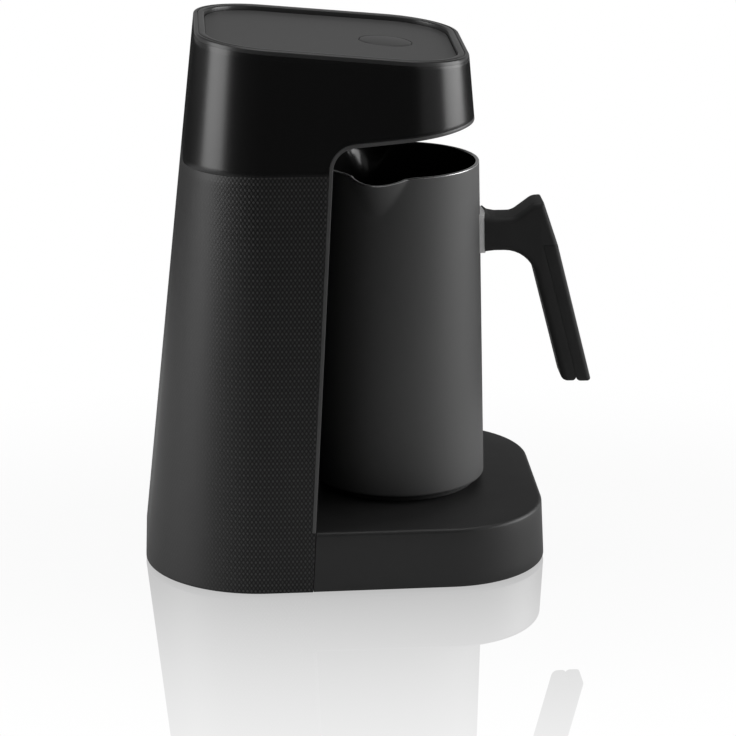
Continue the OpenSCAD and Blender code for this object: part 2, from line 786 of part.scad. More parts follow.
function top_point(y, z) = [y * cos(top_tilt) - z * sin(top_tilt),
    top_h + y * sin(top_tilt) + z * cos(top_tilt)];

ribbon_w = 12;
ribbon_t = 0.8;
ribbon_end = top_point(control_y[1] - 8, board_low - ribbon_t / 2 - fit);

module ribbon_cable() color("#8a8a8a") placed() across(ribbon_w) {
    y = power_back + ribbon_t / 2 + fit / 2;
    band([[y, power_low + board_h - ribbon_hold], [y, ribbon_end[1] - 15], [y - 6, ribbon_end[1] - 4],
        ribbon_end], ribbon_t);
}

module hub_leads() color("#7a2020") placed() {
    starts = [-6, 0, 6];
    ends = [-ring_inner_r, 0, ring_outer_r];
    for (i = [0 : 2]) wire([
        [starts[i], block_y, block_low],
        [starts[i], block_y, block_low - 6],
        [starts[i], lead_slot_y, base_h + 8],
        [starts[i], lead_slot_y, lead_floor + 5],
        [starts[i], lead_slot_y - 8, lead_floor],
        [ends[i], 10, lead_floor],
        [ends[i], 0, lead_floor + 1],
        [ends[i], 0, pin_low]], lead_r);
}

// ---- cordless connector and cord inlet in the base ----

groove = ring_t / 2 + hub_gap;                  // half width of a groove for a ring contact
groove_depth = 6;
contact_h = 1.4;
contact_r = 1;
contact_xs = [-ring_inner_r, ring_outer_r];
ring_radii = [ring_inner_r, ring_outer_r];

module base_connector() color("#2e2e2e") placed() difference() {
    union() {
        translate([0, 0, hub_low]) cylinder(r = hub_flange_r, h = hub_flange_t);
        translate([0, 0, hub_low]) cylinder(r = hub_r, h = hub_top - hub_low);
    }
    for (r = ring_radii) translate([0, 0, hub_top - groove_depth])
        ring(r - groove, r + groove, groove_depth + 1);
    translate([0, 0, hub_top - groove_depth]) cylinder(r = pin_r + hub_gap, h = groove_depth + 1);
    for (x = concat(contact_xs, [0])) translate([x, 0, hub_low - 1])
        cylinder(r = contact_r + fit / 4, h = hub_top - hub_low);
    at_hub_screws() translate([0, 0, hub_low - 1]) cylinder(r = screw_r + fit, h = hub_flange_t + 2);
}

module hub_contacts() color("#b87333") placed() {
    floor_z = hub_top - groove_depth;
    for (i = [0, 1]) {
        translate([0, 0, floor_z]) ring(ring_radii[i] - ring_t / 2, ring_radii[i] + ring_t / 2, contact_h);
        translate([contact_xs[i], 0, pin_low]) cylinder(r = contact_r, h = floor_z - pin_low + contact_h / 2);
    }
    translate([0, 0, floor_z]) cylinder(r = pin_r, h = contact_h);
    translate([0, 0, pin_low]) cylinder(r = contact_r, h = floor_z - pin_low + contact_h / 2);
}

module hub_seal() color("#a03a2a") placed() translate([0, 0, deck_low - seal_t])
    ring(hub_r + fit, hub_r + fit + seal_w, seal_t);

module hub_screws() color("silver") placed() at_hub_screws() translate([0, 0, hub_low])
    rotate([180, 0, 0]) screw(hub_flange_t + seal_t + 1.4);

module cord_gland() color("#161616") placed() translate([0, gland_in, cord_h]) rotate([-90, 0, 0])
    difference() {
        length = gland_end - gland_in;
        union() {
            cylinder(r = gland_r, h = length);
            translate([0, 0, gland_flange_y - gland_in]) cylinder(r = gland_flange_r, h = gland_flange_t);
        }
        translate([0, 0, -1]) cylinder(r = cord_r, h = length + 2);
    }

module cord_clamp() color("#d8d8d8") placed() difference() {
    translate([-seat_size[0] / 2, seat_y - seat_size[1] / 2, clamp_top - clamp_t])
        cube([seat_size[0], seat_size[1], clamp_t]);
    at_clamp_screws() translate([0, 0, clamp_top - clamp_t - 1]) cylinder(r = screw_r + fit, h = clamp_t + 2);
}

module clamp_screws() color("silver") placed() at_clamp_screws()
    translate([0, 0, clamp_top - clamp_t]) rotate([180, 0, 0]) screw(11);

// ---- jug ----

jug_bottom = base_h + jug_gap;
stand_low = base_h + 0.3;                       // the jug's standing ring, just above the deck
base_plate_t = 2.2;
base_plate_top = jug_bottom + base_plate_t;
socket_r = hub_r + hub_gap;
socket_wall = 2.6;
socket_out = socket_r + socket_wall;
socket_top = hub_top + hub_gap;
connector_top = socket_top + 1.8;
flange_t = 2;
connector_flange_r = socket_out + 2 * screw_head_r + 0.6;
connector_screw_ring = socket_out + screw_head_r + 0.2;
element_low = connector_top + 0.6;
plate_low = element_low + 2 * element_r;
floor_low = plate_low + plate_t;
floor_top = floor_low + jug_floor_t;
stud_r = 2.6;
stud_ring = connector_flange_r + stud_r + 0.7;
stand_out = stud_ring + screw_head_r + fit + 1.1;
ring_drop = 5;                                  // how far the jug's contacts reach into the grooves

function jug_r(z) = mix(jug_foot_r, jug_rim_r, (z - jug_bottom) / (jug_top - jug_bottom));

// The jug's leaning wall between two heights, set in by a distance.
module jug_cone(inset, low, high) translate([0, 0, low])
    cylinder(r1 = jug_r(low) - inset, r2 = jug_r(high) - inset, h = high - low);

module at_studs() for (a = [90, 210, 330]) rotate(a) translate([stud_ring, 0, 0]) children();
module at_connector_screws() for (a = [30, 150, 270]) rotate(a)
    translate([connector_screw_ring, 0, 0]) children();

// How far out a spout leans, from 0 at its lower end to 1 at the rim: slowly at first.
function spout_up(z) = pow(max(0, min(1, (z - jug_top + spout_drop) / spout_drop)), 2);

// A spout is a round that leans outwards: narrow and inside the wall below, wide and past it at the rim.
function spout_centre(z) = mix(jug_r(jug_top - spout_drop) - spout_foot_r - 0.2,
    spout_reach - spout_lip_r, spout_up(z));
function spout_round(z) = mix(spout_foot_r, spout_lip_r, spout_up(z));
function spout_away(a) = min(abs(a - 270 - spout_angle), abs(a - 270 + spout_angle),
    abs(a + 90 - spout_angle), abs(a + 90 + spout_angle));

// How far from the axis a round of radius r lies at an angle, or 0 where it isn't met.
function round_reach(c, r, a) = a > 80 || c * sin(a) >= r ? 0
    : c * cos(a) + sqrt(r * r - pow(c * sin(a), 2));
function soft_max(a, b, k) = max(a, b) + pow(max(k - abs(a - b), 0), 2) / (4 * k);

// The jug's wall at a height and an angle from +X, set in by a distance.
function wall_r(z, a, inset) = soft_max(jug_r(z) - inset,
    round_reach(spout_centre(z), spout_round(z) - inset, spout_away(a)),
    mix(0.3, spout_blend, spout_up(z)));

// The rim dips at a spout.
function rim_z(a) = jug_top - spout_dip * pow(max(0, cos(90 * min(1, spout_away(a) / spout_half))), 2);
function wall_point(z, a, inset) = [wall_r(z, a, inset) * cos(a), wall_r(z, a, inset) * sin(a), z];

jug_steps = 96;                                 // facets around the wall
spout_foot_r = 3.2;                             // radius of a spout at its lower end
spout_blend = 3;                                // how softly a spout runs into the rim
spout_half = 30;                                // degrees from a spout's middle to the level rim
spout_rows = [0, 0.3, 0.5, 0.7, 0.85, 1];

// The wall and floor as one closed surface: up the outside, over the rim, down the inside to the floor, and
// the hollow below the floor.
module jug_shell() {
    angles = [for (j = [0 : jug_steps - 1]) 360 * j / jug_steps];
    low = jug_top - spout_drop;
    rows = concat(
        [[for (a = angles) wall_point(floor_low, a, jug_wall)]],
        [[for (a = angles) wall_point(jug_bottom, a, jug_wall)]],
        [[for (a = angles) wall_point(jug_bottom, a, 0)]],
        [for (t = spout_rows) [for (a = angles) wall_point(mix(low, rim_z(a), t), a, 0)]],
        [for (i = [len(spout_rows) - 1 : -1 : 0])
            [for (a = angles) wall_point(mix(low, rim_z(a), spout_rows[i]), a, jug_wall)]],
        [[for (a = angles) wall_point(floor_top, a, jug_wall)]]);
    n = len(rows);
    walls = [for (i = [0 : n - 2]) for (j = [0 : jug_steps - 1])
        let(k = (j + 1) % jug_steps, here = i * jug_steps, next = (i + 1) * jug_steps)
        each [[here + j, next + j, next + k], [here + j, next + k, here + k]]];
    polyhedron([for (r = rows) each r], concat([[for (j = [0 : jug_steps - 1]) j]], walls,
        [[for (j = [jug_steps - 1 : -1 : 0]) (n - 1) * jug_steps + j]]));
}

module jug_body() color("#454545") placed() difference() {
    union() {
        jug_shell();
        at_studs() translate([0, 0, base_plate_top + fit / 2])
            cylinder(r = stud_r, h = floor_low - base_plate_top + bite);
    }
    at_studs() translate([0, 0, base_plate_top - 1]) cylinder(r = screw_r, h = 10);
}

module heat_plate() color("#b8babd") placed() translate([0, 0, plate_low]) cylinder(r = plate_r, h = plate_t);

module heating_element() color("#9a948a") placed() {
    gap = 40;
    translate([0, 0, element_low + element_r]) {
        rotate(90 + gap / 2) rotate_extrude(angle = 360 - gap)
            translate([element_ring_r, 0]) circle(r = element_r - fit / 2);
        both_sides() rotate(90 - gap / 2) translate([element_ring_r, -bite, 0]) rotate([-90, 0, 0])
            cylinder(r = 1, h = 4 + bite);
    }
}

module thermostat() color("#8a8a8a") placed() translate([0, 0, connector_top])
    cylinder(r = 6, h = plate_low - connector_top);

module temperature_probe() color("#c9c9c9") placed() translate([11, 0, connector_top])
    cylinder(r = 2.2, h = plate_low - connector_top);

module jug_connector() color("#262626") placed() difference() {
    union() {
        translate([0, 0, jug_bottom]) cylinder(r = socket_out, h = connector_top - jug_bottom);
        translate([0, 0, base_plate_top]) cylinder(r = connector_flange_r, h = flange_t);
    }
    translate([0, 0, jug_bottom - 1]) cylinder(r = socket_r, h = socket_top - jug_bottom + 1);
    at_connector_screws() translate([0, 0, base_plate_top - 1]) cylinder(r = screw_r + fit, h = flange_t + 2);
}

module jug_contacts() color("#c79a3a") placed() {
    low = hub_top - ring_drop + 1.6;
    for (r = ring_radii) translate([0, 0, low]) ring(r - ring_t / 2, r + ring_t / 2, socket_top - low);
    translate([0, 0, low]) cylinder(r = pin_r, h = socket_top - low);
}

module connector_screws() color("silver") placed() at_connector_screws()
    translate([0, 0, base_plate_top + flange_t]) screw(6);

module jug_base_cover() color("#181818") placed() difference() {
    union() {
        jug_cone(jug_wall + fit, jug_bottom, base_plate_top);
        translate([0, 0, stand_low]) cylinder(r = stand_out, h = jug_bottom - stand_low + bite);
    }
    translate([0, 0, stand_low - 1]) cylinder(r = socket_out + fit, h = far);
    at_studs() {
        translate([0, 0, stand_low - 1]) cylinder(r = screw_r + fit, h = far);
        translate([0, 0, stand_low - 1]) cylinder(r = screw_head_r + fit, h = screw_head_h + 1.6);
    }
    at_connector_screws() translate([0, 0, base_plate_top - 4.2]) cylinder(r = screw_r, h = 10);
}

module jug_base_seal() color("#a03a2a") placed() difference() {
    jug_cone(jug_wall + fit / 2, base_plate_top, base_plate_top + 1.6);
    translate([0, 0, base_plate_top - 1]) cylinder(r = stud_ring + stud_r + fit, h = far);
}

module jug_base_screws() color("silver") placed() at_studs()
    translate([0, 0, stand_low + screw_head_h + 0.6]) rotate([180, 0, 0]) screw(11);

// ---- handle ----

bracket_t = 0.8;
bracket_in = 0.6;                               // how far the bracket's plate stops inside the arm's edges
flare_reach = 6;                                // how far along the arm its flare runs
arm_low = arm_top - arm_h;
arm_mid = arm_top - arm_h / 2;
arm_start = jug_r(arm_mid) + bracket_t;         // where the arm meets its bracket
tongue_w = 10;
tongue_t = 5;
tongue_reach = arm_start + 12;
bracket_screw_reach = arm_start + 7;
bracket_screw_seat = 2.5;                       // how deep its head sits in the arm
grip_screw_heights = [grip_low + 14, grip_low + 40];

function outer_u(z) = mix(grip_reach, knee_reach, (z - grip_low) / (knee_h - grip_low));
function inner_u(z) = outer_u(z) - mix(grip_low_t, grip_t, (z - grip_low) / (knee_h - grip_low));
inner_slope = (inner_u(arm_low) - inner_u(grip_low)) / (arm_low - grip_low);
grip_angle = atan(-inner_slope);                // the grip's lean from upright
bend_z = arm_low - grip_bend;
bend_u = inner_u(bend_z) - grip_bend / cos(grip_angle);
bend_steps = 6;
arm_in = 12;                                    // how far the arm's outline starts inside the jug
grip_tip = 0.8;                                 // how much is cut off the grip's lower outer corner
grip_heel = 3;                                  // and off its lower inner corner
cover_angle = atan((grip_reach - knee_reach) / (knee_h - grip_low));   // lean of the grip's outer face

// The handle seen from its side: distance from the jug's axis, then height.
function handle_outline() = concat(
    [[arm_start, arm_top + arm_flare], [arm_start + flare_reach / 5, arm_top + 0.6 * arm_flare],
        [arm_start + flare_reach / 2, arm_top + 0.2 * arm_flare], [arm_start + flare_reach, arm_top],
        [arm_start + 11, arm_top],
        [mix(arm_start + 11, thumb_reach, 0.6), mix(arm_top, thumb_h, 0.72)],
        [thumb_reach - 2.2, thumb_h], [thumb_reach, thumb_h - 0.4],
        [knee_reach, knee_h],
        [grip_reach, grip_low + grip_tip], [grip_reach - grip_tip, grip_low],
        [grip_reach - grip_low_t + grip_heel, grip_low], [grip_reach - grip_low_t, grip_low + grip_heel]],
    [for (i = [0 : bend_steps]) let(a = mix(grip_angle, 90, i / bend_steps))
        [bend_u + grip_bend * cos(a), bend_z + grip_bend * sin(a)]],
    [[arm_start + flare_reach, arm_low], [arm_start + flare_reach / 3, arm_low - 0.15 * arm_flare],
        [arm_start, arm_low - 0.5 * arm_flare]]);

// An outline of distance and height, drawn as a plate in front of the jug.
module side_plate(w) mirror([0, 1, 0]) across(w) children();

// The arm's end hugs the bracket, which hugs the jug's wall.
module handle_form() difference() {
    minkowski() {
        side_plate(handle_w - 2 * handle_round) offset(delta = -handle_round)
            polygon(concat([[arm_start - arm_in, arm_top + arm_flare]], handle_outline(),
                [[arm_start - arm_in, arm_low - 0.5 * arm_flare]]));
        sphere(r = handle_round, $fn = 16);
    }
    jug_cone(-bracket_t, jug_bottom, jug_top);
}

// What belongs to the outer cover: all that lies within its depth of the grip's outer face, below the knee.
module cover_zone(gap) side_plate(2 * far) polygon([
    [outer_u(grip_low - 20) - grip_cover_t - gap, grip_low - 20],
    [outer_u(knee_h) - grip_cover_t - gap, knee_h + gap],
    [far, knee_h + gap], [far, grip_low - 20]]);

// Screws that go through the grip from its inner face, square to it. Z = 0 is the cover's inner face.
module at_grip_screws() for (z = grip_screw_heights)
    translate([0, -(outer_u(z) - grip_cover_t), z]) rotate([-90 - cover_angle, 0, 0]) children();

module at_bracket_screw() translate([0, -bracket_screw_reach, arm_low]) children();

module handle_bracket() color("#a8a8a8") placed() difference() {
    union() {
        intersection() {
            jug_cone(fit / 4 - bracket_t, jug_bottom, jug_top);
            translate([-handle_w / 2 + bracket_in, -far, arm_low + bracket_in])
                cube([handle_w - 2 * bracket_in, far, arm_h - 2 * bracket_in]);
        }
        translate([-tongue_w / 2, -tongue_reach, arm_mid - tongue_t / 2])
            cube([tongue_w, tongue_reach - arm_start + 2 * bite, tongue_t]);
    }
    jug_cone(-fit / 4, jug_bottom, jug_top);
    at_bracket_screw() translate([0, 0, arm_h / 2 - tongue_t]) cylinder(r = screw_r, h = 2 * tongue_t);
}

module handle_shell() color("#262626") placed() difference() {
    handle_form();
    cover_zone(fit);
    translate([-tongue_w / 2 - fit, -tongue_reach - fit, arm_mid - tongue_t / 2 - fit])
        cube([tongue_w + 2 * fit, 20, tongue_t + 2 * fit]);
    at_bracket_screw() {
        translate([0, 0, -1]) cylinder(r = screw_r + fit, h = arm_h / 2);
        translate([0, 0, -1]) cylinder(r = screw_head_r + fit, h = bracket_screw_seat + 1);
    }
    at_grip_screws() {
        translate([0, 0, -bite]) cylinder(r = screw_r + fit, h = 20);
        translate([0, 0, 3]) cylinder(r = screw_head_r + fit, h = 20);
    }
}

module handle_cover() color("#2b2b2b") placed() difference() {
    intersection() {
        handle_form();
        cover_zone(0);
    }
    at_grip_screws() translate([0, 0, -3.5]) cylinder(r = screw_r, h = 5);
}

module handle_screws() color("silver") placed() {
    at_grip_screws() translate([0, 0, 3]) screw(6);
    at_bracket_screw() translate([0, 0, bracket_screw_seat]) rotate([180, 0, 0])
        screw((arm_h + tongue_t) / 2 - bracket_screw_seat - fit);
}

base_housing();
bottom_cover();
rubber_feet();
bottom_screws();
lower_shell();
upper_shell();
arch_trim();
bay_panel();
top_rim();
top_panel();
button_guide();
power_button();
button_clip();
button_spring();
control_board();
board_chips();
board_screws();
tact_switch();
buzzer();
sensor_window();
sensor_housing();
foam_sensor();
sensor_screws();
spine_frame();
spine_screws();
panel_screws();
power_board();
power_board_screws();
relay();
transformer();
capacitors();
terminal_block();
ribbon_cable();
hub_leads();
base_connector();
hub_contacts();
hub_seal();
hub_screws();
cord_gland();
cord_clamp();
clamp_screws();
jug_body();
heat_plate();
heating_element();
thermostat();
temperature_probe();
jug_connector();
jug_contacts();
connector_screws();
jug_base_cover();
jug_base_seal();
jug_base_screws();
handle_bracket();
handle_shell();
handle_cover();
handle_screws();
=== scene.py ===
# %% [markdown]
# # A Turkish coffee maker, dressed for its portrait
# The machine is a black plastic housing with a base, a column and a head that hangs over a metal jug. Its packed
# CAD model is loaded first, and every piece that shows is then modelled again over it: smooth where the moulds are
# smooth, knurled where the column is knurled. Lengths are written in millimetres, as a maker would, and become
# metres when a mesh is made.

# %% Load the model
import json
from math import acos, atan2, ceil, cos, pi, radians, sin, sqrt, tan

import bmesh
import bpy
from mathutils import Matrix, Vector


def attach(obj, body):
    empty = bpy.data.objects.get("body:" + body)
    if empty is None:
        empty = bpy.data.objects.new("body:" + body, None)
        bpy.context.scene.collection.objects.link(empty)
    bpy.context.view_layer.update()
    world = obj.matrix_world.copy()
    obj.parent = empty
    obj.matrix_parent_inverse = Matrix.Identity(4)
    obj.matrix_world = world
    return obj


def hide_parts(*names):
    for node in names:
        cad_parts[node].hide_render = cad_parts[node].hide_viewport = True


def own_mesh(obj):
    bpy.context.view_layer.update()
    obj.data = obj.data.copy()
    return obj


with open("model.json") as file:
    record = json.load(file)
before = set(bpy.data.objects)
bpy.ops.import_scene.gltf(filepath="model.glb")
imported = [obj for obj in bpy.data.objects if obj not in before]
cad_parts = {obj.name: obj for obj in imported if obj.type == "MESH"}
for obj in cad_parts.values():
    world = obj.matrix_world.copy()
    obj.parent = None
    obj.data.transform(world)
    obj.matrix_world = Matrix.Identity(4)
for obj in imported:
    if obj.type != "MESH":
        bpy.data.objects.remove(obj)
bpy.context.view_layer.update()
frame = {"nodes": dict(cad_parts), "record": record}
MM = 0.001

# %% [markdown]
# ## The camera
# The photograph was taken with a long lens from the machine's left side, a little from above. A long lens keeps
# upright edges nearly parallel. The camera could be pointed at a target with a constraint, but four numbers fitted
# to the picture say it exactly: where it stands, how it is turned, how far it looks down, and its focal length. A
# small vertical shift does what the photographer did by cropping.

# %% Place the camera
CAMERA_PLACE = (-1.1418, 0.076564, 0.4306)
CAMERA_TURN = radians(-3.847)      # the view runs along +X, turned a little to the front
CAMERA_PITCH = radians(16.53)      # and this much down
CAMERA_LENS = 144.98
CAMERA_SHIFT = -0.0646
CAMERA_FRAME = 36                  # millimetres across the frame that the lens is given for
CAMERA_SEES = 20                   # metres

camera = bpy.data.objects.new("camera", bpy.data.cameras.new("camera"))
bpy.context.scene.collection.objects.link(camera)
camera.data.lens = CAMERA_LENS
camera.data.sensor_width = CAMERA_FRAME
camera.data.shift_y = CAMERA_SHIFT
camera.data.clip_end = CAMERA_SEES
camera.location = CAMERA_PLACE
look = Vector((cos(CAMERA_PITCH) * cos(CAMERA_TURN), cos(CAMERA_PITCH) * sin(CAMERA_TURN), -sin(CAMERA_PITCH)))
camera.rotation_euler = look.to_track_quat("-Z", "Y").to_euler()
bpy.context.scene.camera = camera
bpy.context.scene.view_settings.view_transform = "Standard"
print("the camera looks along", [round(x, 3) for x in look])

# %% [markdown]
# ## Sums in place of node wires
# A finish is a small sum: a base colour, plus a little noise, times a mask. Wiring that by hand is long, so one small
# class wraps a node's output, and Python's own signs add the nodes. Numbers go through Math nodes, colours and
# vectors through Vector Math, and a blend of two colours through Mix.

# %% The class for sums of shader values
class Value:
    def __init__(self, finish, socket):
        self.finish = finish
        self.socket = socket

    def many(self):
        return self.socket.type in ("VECTOR", "RGBA")

    def sum(self, operation, first, second):
        many = any(isinstance(v, Value) and v.many() for v in (first, second))
        kind = "ShaderNodeVectorMath" if many else "ShaderNodeMath"
        if many:
            first, second = [(v,) * 3 if isinstance(v, (int, float)) else v for v in (first, second)]
        return self.finish.node(kind, {"operation": operation}, {0: first, 1: second})

    def __add__(self, other):
        return self.sum("ADD", self, other)

    def __sub__(self, other):
        return self.sum("SUBTRACT", self, other)

    def __mul__(self, other):
        return self.sum("MULTIPLY", self, other)

    def __truediv__(self, other):
        return self.sum("DIVIDE", self, other)

    def __radd__(self, other):
        return self.sum("ADD", other, self)

    def __rsub__(self, other):
        return self.sum("SUBTRACT", other, self)

    def __rmul__(self, other):
        return self.sum("MULTIPLY", other, self)

    def __rtruediv__(self, other):
        return self.sum("DIVIDE", other, self)

    def apply(self, operation, other=0.0):
        return self.sum(operation, self, other)

    def part(self, name):
        return self.finish.node("ShaderNodeSeparateXYZ", {}, {0: self}, name)

    def between(self, low, high):
        """0 below low, 1 above high, and a soft step from one to the other."""
        return self.finish.node("ShaderNodeMapRange", {"interpolation_type": "SMOOTHSTEP"},
                                {"Value": self, "From Min": low, "From Max": high}, "Result")

    def blend(self, start, end):
        """start where this value is 0, end where it is 1: numbers or colours."""
        colours = any(isinstance(v, tuple) or (isinstance(v, Value) and v.many()) for v in (start, end))
        if not colours:
            return start + (end - start) * self
        return self.finish.node("ShaderNodeMix", {"data_type": "RGBA"}, {0: self, 6: start, 7: end}, 2)


class Nodes:
    """A tree of nodes. Its method node() adds any node, and returns one output as a Value."""

    def __init__(self, tree):
        self.tree = tree

    def put(self, socket, value):
        if isinstance(value, Value):
            self.tree.links.new(value.socket, socket)
        elif isinstance(value, tuple) and socket.type == "RGBA" and len(value) == 3:
            socket.default_value = value + (1,)
        else:
            socket.default_value = value

    def node(self, kind, settings, sockets, out=0):
        made = self.tree.nodes.new(kind)
        for name, setting in settings.items():
            setattr(made, name, setting)
        for name, value in sockets.items():
            self.put(made.inputs[name], value)
        return Value(self, made.outputs[out])

    def place(self):
        """Where a point lies on the object, in metres."""
        return self.node("ShaderNodeTexCoord", {}, {}, "Object")

    def noise(self, size_mm, detail=2.0, stretch=(1, 1, 1)):
        """Cloudy noise from 0 to 1, whose lumps are about size_mm across."""
        place = self.place() * tuple(s / (size_mm * MM) for s in stretch)
        return self.node("ShaderNodeTexNoise", {}, {"Vector": place, "Scale": 1.0, "Detail": detail}, "Fac")

    def bump(self, height, depth_mm, strength=1.0):
        return self.node("ShaderNodeBump", {}, {"Height": height, "Distance": depth_mm * MM, "Strength": strength})


class Finish(Nodes):
    """A material, painted by giving values to its shader's sockets."""

    def __init__(self, name):
        self.material = bpy.data.materials.new(name)
        self.material.use_nodes = True
        super().__init__(self.material.node_tree)
        self.shader = self.tree.nodes["Principled BSDF"]

    def paint(self, **sockets):
        for name, value in sockets.items():
            self.put(self.shader.inputs[name.replace("_", " ")], value)


def grey(value):
    """A grey as it is written on screen, from 0 to 1, turned into the linear colour that a shader takes."""
    linear = value / 12.92 if value <= 0.04045 else ((value + 0.055) / 1.055) ** 2.4
    return (linear,) * 3


def shaded(colour, share):
    """A colour made darker or lighter."""
    return tuple(c * share for c in colour)


print("class ready")

# %% [markdown]
# ## Black plastics
# Nearly everything outside is black plastic, and what tells one piece from the next is its surface. The base and the
# handle come from a spark-eroded mould and have a fine grain that spreads highlights. The upper shell comes from a
# polished mould, so its flat side is almost pure black and its corners catch soft bright bands. The grain could be
# an image; noise a fraction of a millimetre across does the same at any distance.

# %% Finishes of the plastics
CLOUD_MM, CLOUD_DETAIL = 9.0, 3.0
ROUGH_SHARE = 0.28                 # how far the clouds change the roughness, for each unit of their colour


def moulded(name, colour, rough, grain_mm=0.35, grain_depth=0.012, gloss=0.4, cloudy=0.14):
    """Moulded plastic: an even colour with faint clouds in it, and a fine grain."""
    finish = Finish(name)
    clouds = finish.noise(CLOUD_MM, CLOUD_DETAIL)
    grain = finish.noise(grain_mm, 1.0)
    uneven = ROUGH_SHARE * cloudy
    finish.paint(Base_Color=clouds.blend(shaded(grey(colour), 1 - cloudy), shaded(grey(colour), 1 + cloudy)),
                 Roughness=clouds.blend(rough - uneven, rough + uneven),
                 Specular_IOR_Level=gloss, Normal=finish.bump(grain, grain_depth))
    return finish.material


base_black = moulded("moulded black", 0.128, 0.47, gloss=0.5)
handle_black = moulded("handle black", 0.185, 0.6, gloss=0.2)
cover_black = moulded("cover black", 0.11, 0.6)
bay_black = moulded("bay black", 0.04, 0.5, gloss=0.12)
shell_black = moulded("polished black", 0.052, 0.27, 1.4, 0.0002, gloss=0.5, cloudy=0.03)
trim_grey = moulded("trim grey", 0.30, 0.38, 0.3, 0.004)
rim_grey = moulded("rim grey", 0.2, 0.3, 0.3, 0.002)
panel_grey = moulded("panel grey", 0.28, 0.42, 0.3, 0.002, gloss=0.3, cloudy=0.06)
button_grey = moulded("button grey", 0.27, 0.4, 0.3, 0.002, gloss=0.3, cloudy=0.06)
rubber = moulded("rubber", 0.09, 0.8, 0.5, 0.02, gloss=0.2)
print("plastics:", len(bpy.data.materials))

# %% [markdown]
# ## The knurled column
# The lower shell carries a fine diamond knurl, cut into the mould: each diamond is 1.6 mm wide and 2.3 mm high. The
# real grooves could be modelled, but so many diamonds would make a heavy mesh for what is a texture. So each point of
# the shell keeps how far round the column and how high it lies, two crossed sets of slanting waves make the diamonds
# from that, and they both dent the surface and paint its colour: painted shade in the grooves, painted light on the
# ridges. Round the back corner the pattern gets weaker.

# %% Finish of the knurled shell
KNURL_ACROSS, KNURL_UP = 1.6, 2.3      # millimetres: width and height of a diamond
KNURL_DEPTH, KNURL_STRENGTH = 0.12, 0.8
# Painted shade in the knurl's grooves and between two rows, and painted light on its ridges, all in one black
# plastic.
GROOVE_SHADE_GREY, RIDGE_LIGHT_GREY = 0.02, 0.225
ROW_WAVE = 0.2                         # how much lower the diamonds are between two rows
KNURL_FADED_LEVEL = 0.6                             # the surface where the knurl has faded out, from groove to ridge
SHADE_SHARE = 0.08                     # how far the clouds shade it


def knurled(name):
    finish = Finish(name)
    spot = finish.node("ShaderNodeAttribute", {"attribute_name": "around"}, {}, "Vector")
    around, high, fade = spot.part("X") / (KNURL_ACROSS * MM), spot.part("Y") / (KNURL_UP * MM), spot.part("Z")
    first = ((around + high) * pi).apply("SINE").apply("ABSOLUTE")
    second = ((around - high) * pi).apply("SINE").apply("ABSOLUTE")
    rows = (high * (2 * pi)).apply("COSINE") * ROW_WAVE + (1 - ROW_WAVE)
    clouds = finish.noise(14.0, CLOUD_DETAIL)
    raised = fade.blend(KNURL_FADED_LEVEL, (first * second).between(0.1, 0.8) * rows)
    # The colour paints shade into the grooves and light onto the ridges.
    colour = raised.blend(grey(GROOVE_SHADE_GREY), grey(RIDGE_LIGHT_GREY))
    finish.paint(Base_Color=clouds.blend(1 - SHADE_SHARE, 1 + SHADE_SHARE) * colour,
                 Roughness=clouds.blend(0.44, 0.5), Specular_IOR_Level=0.35,
                 Normal=finish.bump(raised, KNURL_DEPTH, KNURL_STRENGTH))
    return finish.material


column_black = knurled("knurled black")
print("a diamond is", KNURL_ACROSS, "by", KNURL_UP, "mm")

# %% [markdown]
# ## The jug's metal
# The jug is drawn steel with a satin dark coating: a powder with a little metallic sparkle, smooth enough for a wide
# soft highlight. Inside, the coat is darker and smoother. The raw rim shows as a thin bright line. One function makes
# the two coats, the other the bare metals, whose roughness changes in fine streaks.

# %% Finishes of the jug and the metals
COAT_METAL, COAT_GLOSS = 0.8, 0.45     # how much of the coat shines as metal, and its gloss where it doesn't
COAT_GRAIN_MM, COAT_GRAIN_DEPTH = 0.28, 0.006
STREAK_MM, STREAK_DEPTH = 0.5, 0.004


def coated(name, colour, rough):
    finish = Finish(name)
    clouds = finish.noise(12.0, CLOUD_DETAIL)
    grain = finish.noise(COAT_GRAIN_MM, 1.0)
    finish.paint(Base_Color=clouds.blend(grey(colour), shaded(grey(colour), 1.1)),
                 Roughness=clouds.blend(rough, rough + 0.05), Metallic=COAT_METAL, Specular_IOR_Level=COAT_GLOSS,
                 Normal=finish.bump(grain, COAT_GRAIN_DEPTH))
    return finish.material


def metal(name, colour, rough, stretch=(1, 1, 1), shine=1.0):
    finish = Finish(name)
    streaks = finish.noise(STREAK_MM, stretch=stretch)
    finish.paint(Base_Color=colour, Metallic=shine, Roughness=streaks.blend(rough - 0.06, rough + 0.08),
                 Normal=finish.bump(streaks, STREAK_DEPTH))
    return finish.material


jug_coat = coated("jug coat", 0.4, 0.7)
jug_inside = coated("jug inside", 0.2, 0.2)
rim_steel = metal("bare rim", grey(0.8), 0.28)
# The bracket's steel is only partly metallic: its near-white diffuse share is painted light that stands in for the
# bright reflection on the steel.
bracket_steel = metal("steel with painted reflection", grey(0.95), 0.45, (1, 1, 0.05), shine=0.35)
bright_steel = metal("zinc steel", grey(0.78), 0.34)
warm_steel = metal("heated steel", (0.42, 0.37, 0.31), 0.42)
aluminium = metal("aluminium", grey(0.86), 0.4, (0.2, 1, 1))
copper = metal("contact copper", (0.8, 0.42, 0.2), 0.3)
print("metals ready")

# %% [markdown]
# ## Finishes inside
# The boards, leads and seals are hidden in use, but they are real pieces and show when the housing is opened. Each
# gets a plain finish of its own kind: green lacquer with faint tracks, silicone, nylon, taped copper.

# %% Finishes of the pieces inside
INNER_GLOSS = 0.4
TRACKS_X, TRACKS_Z = 5.0, 6.2          # millimetres from one copper track to the next


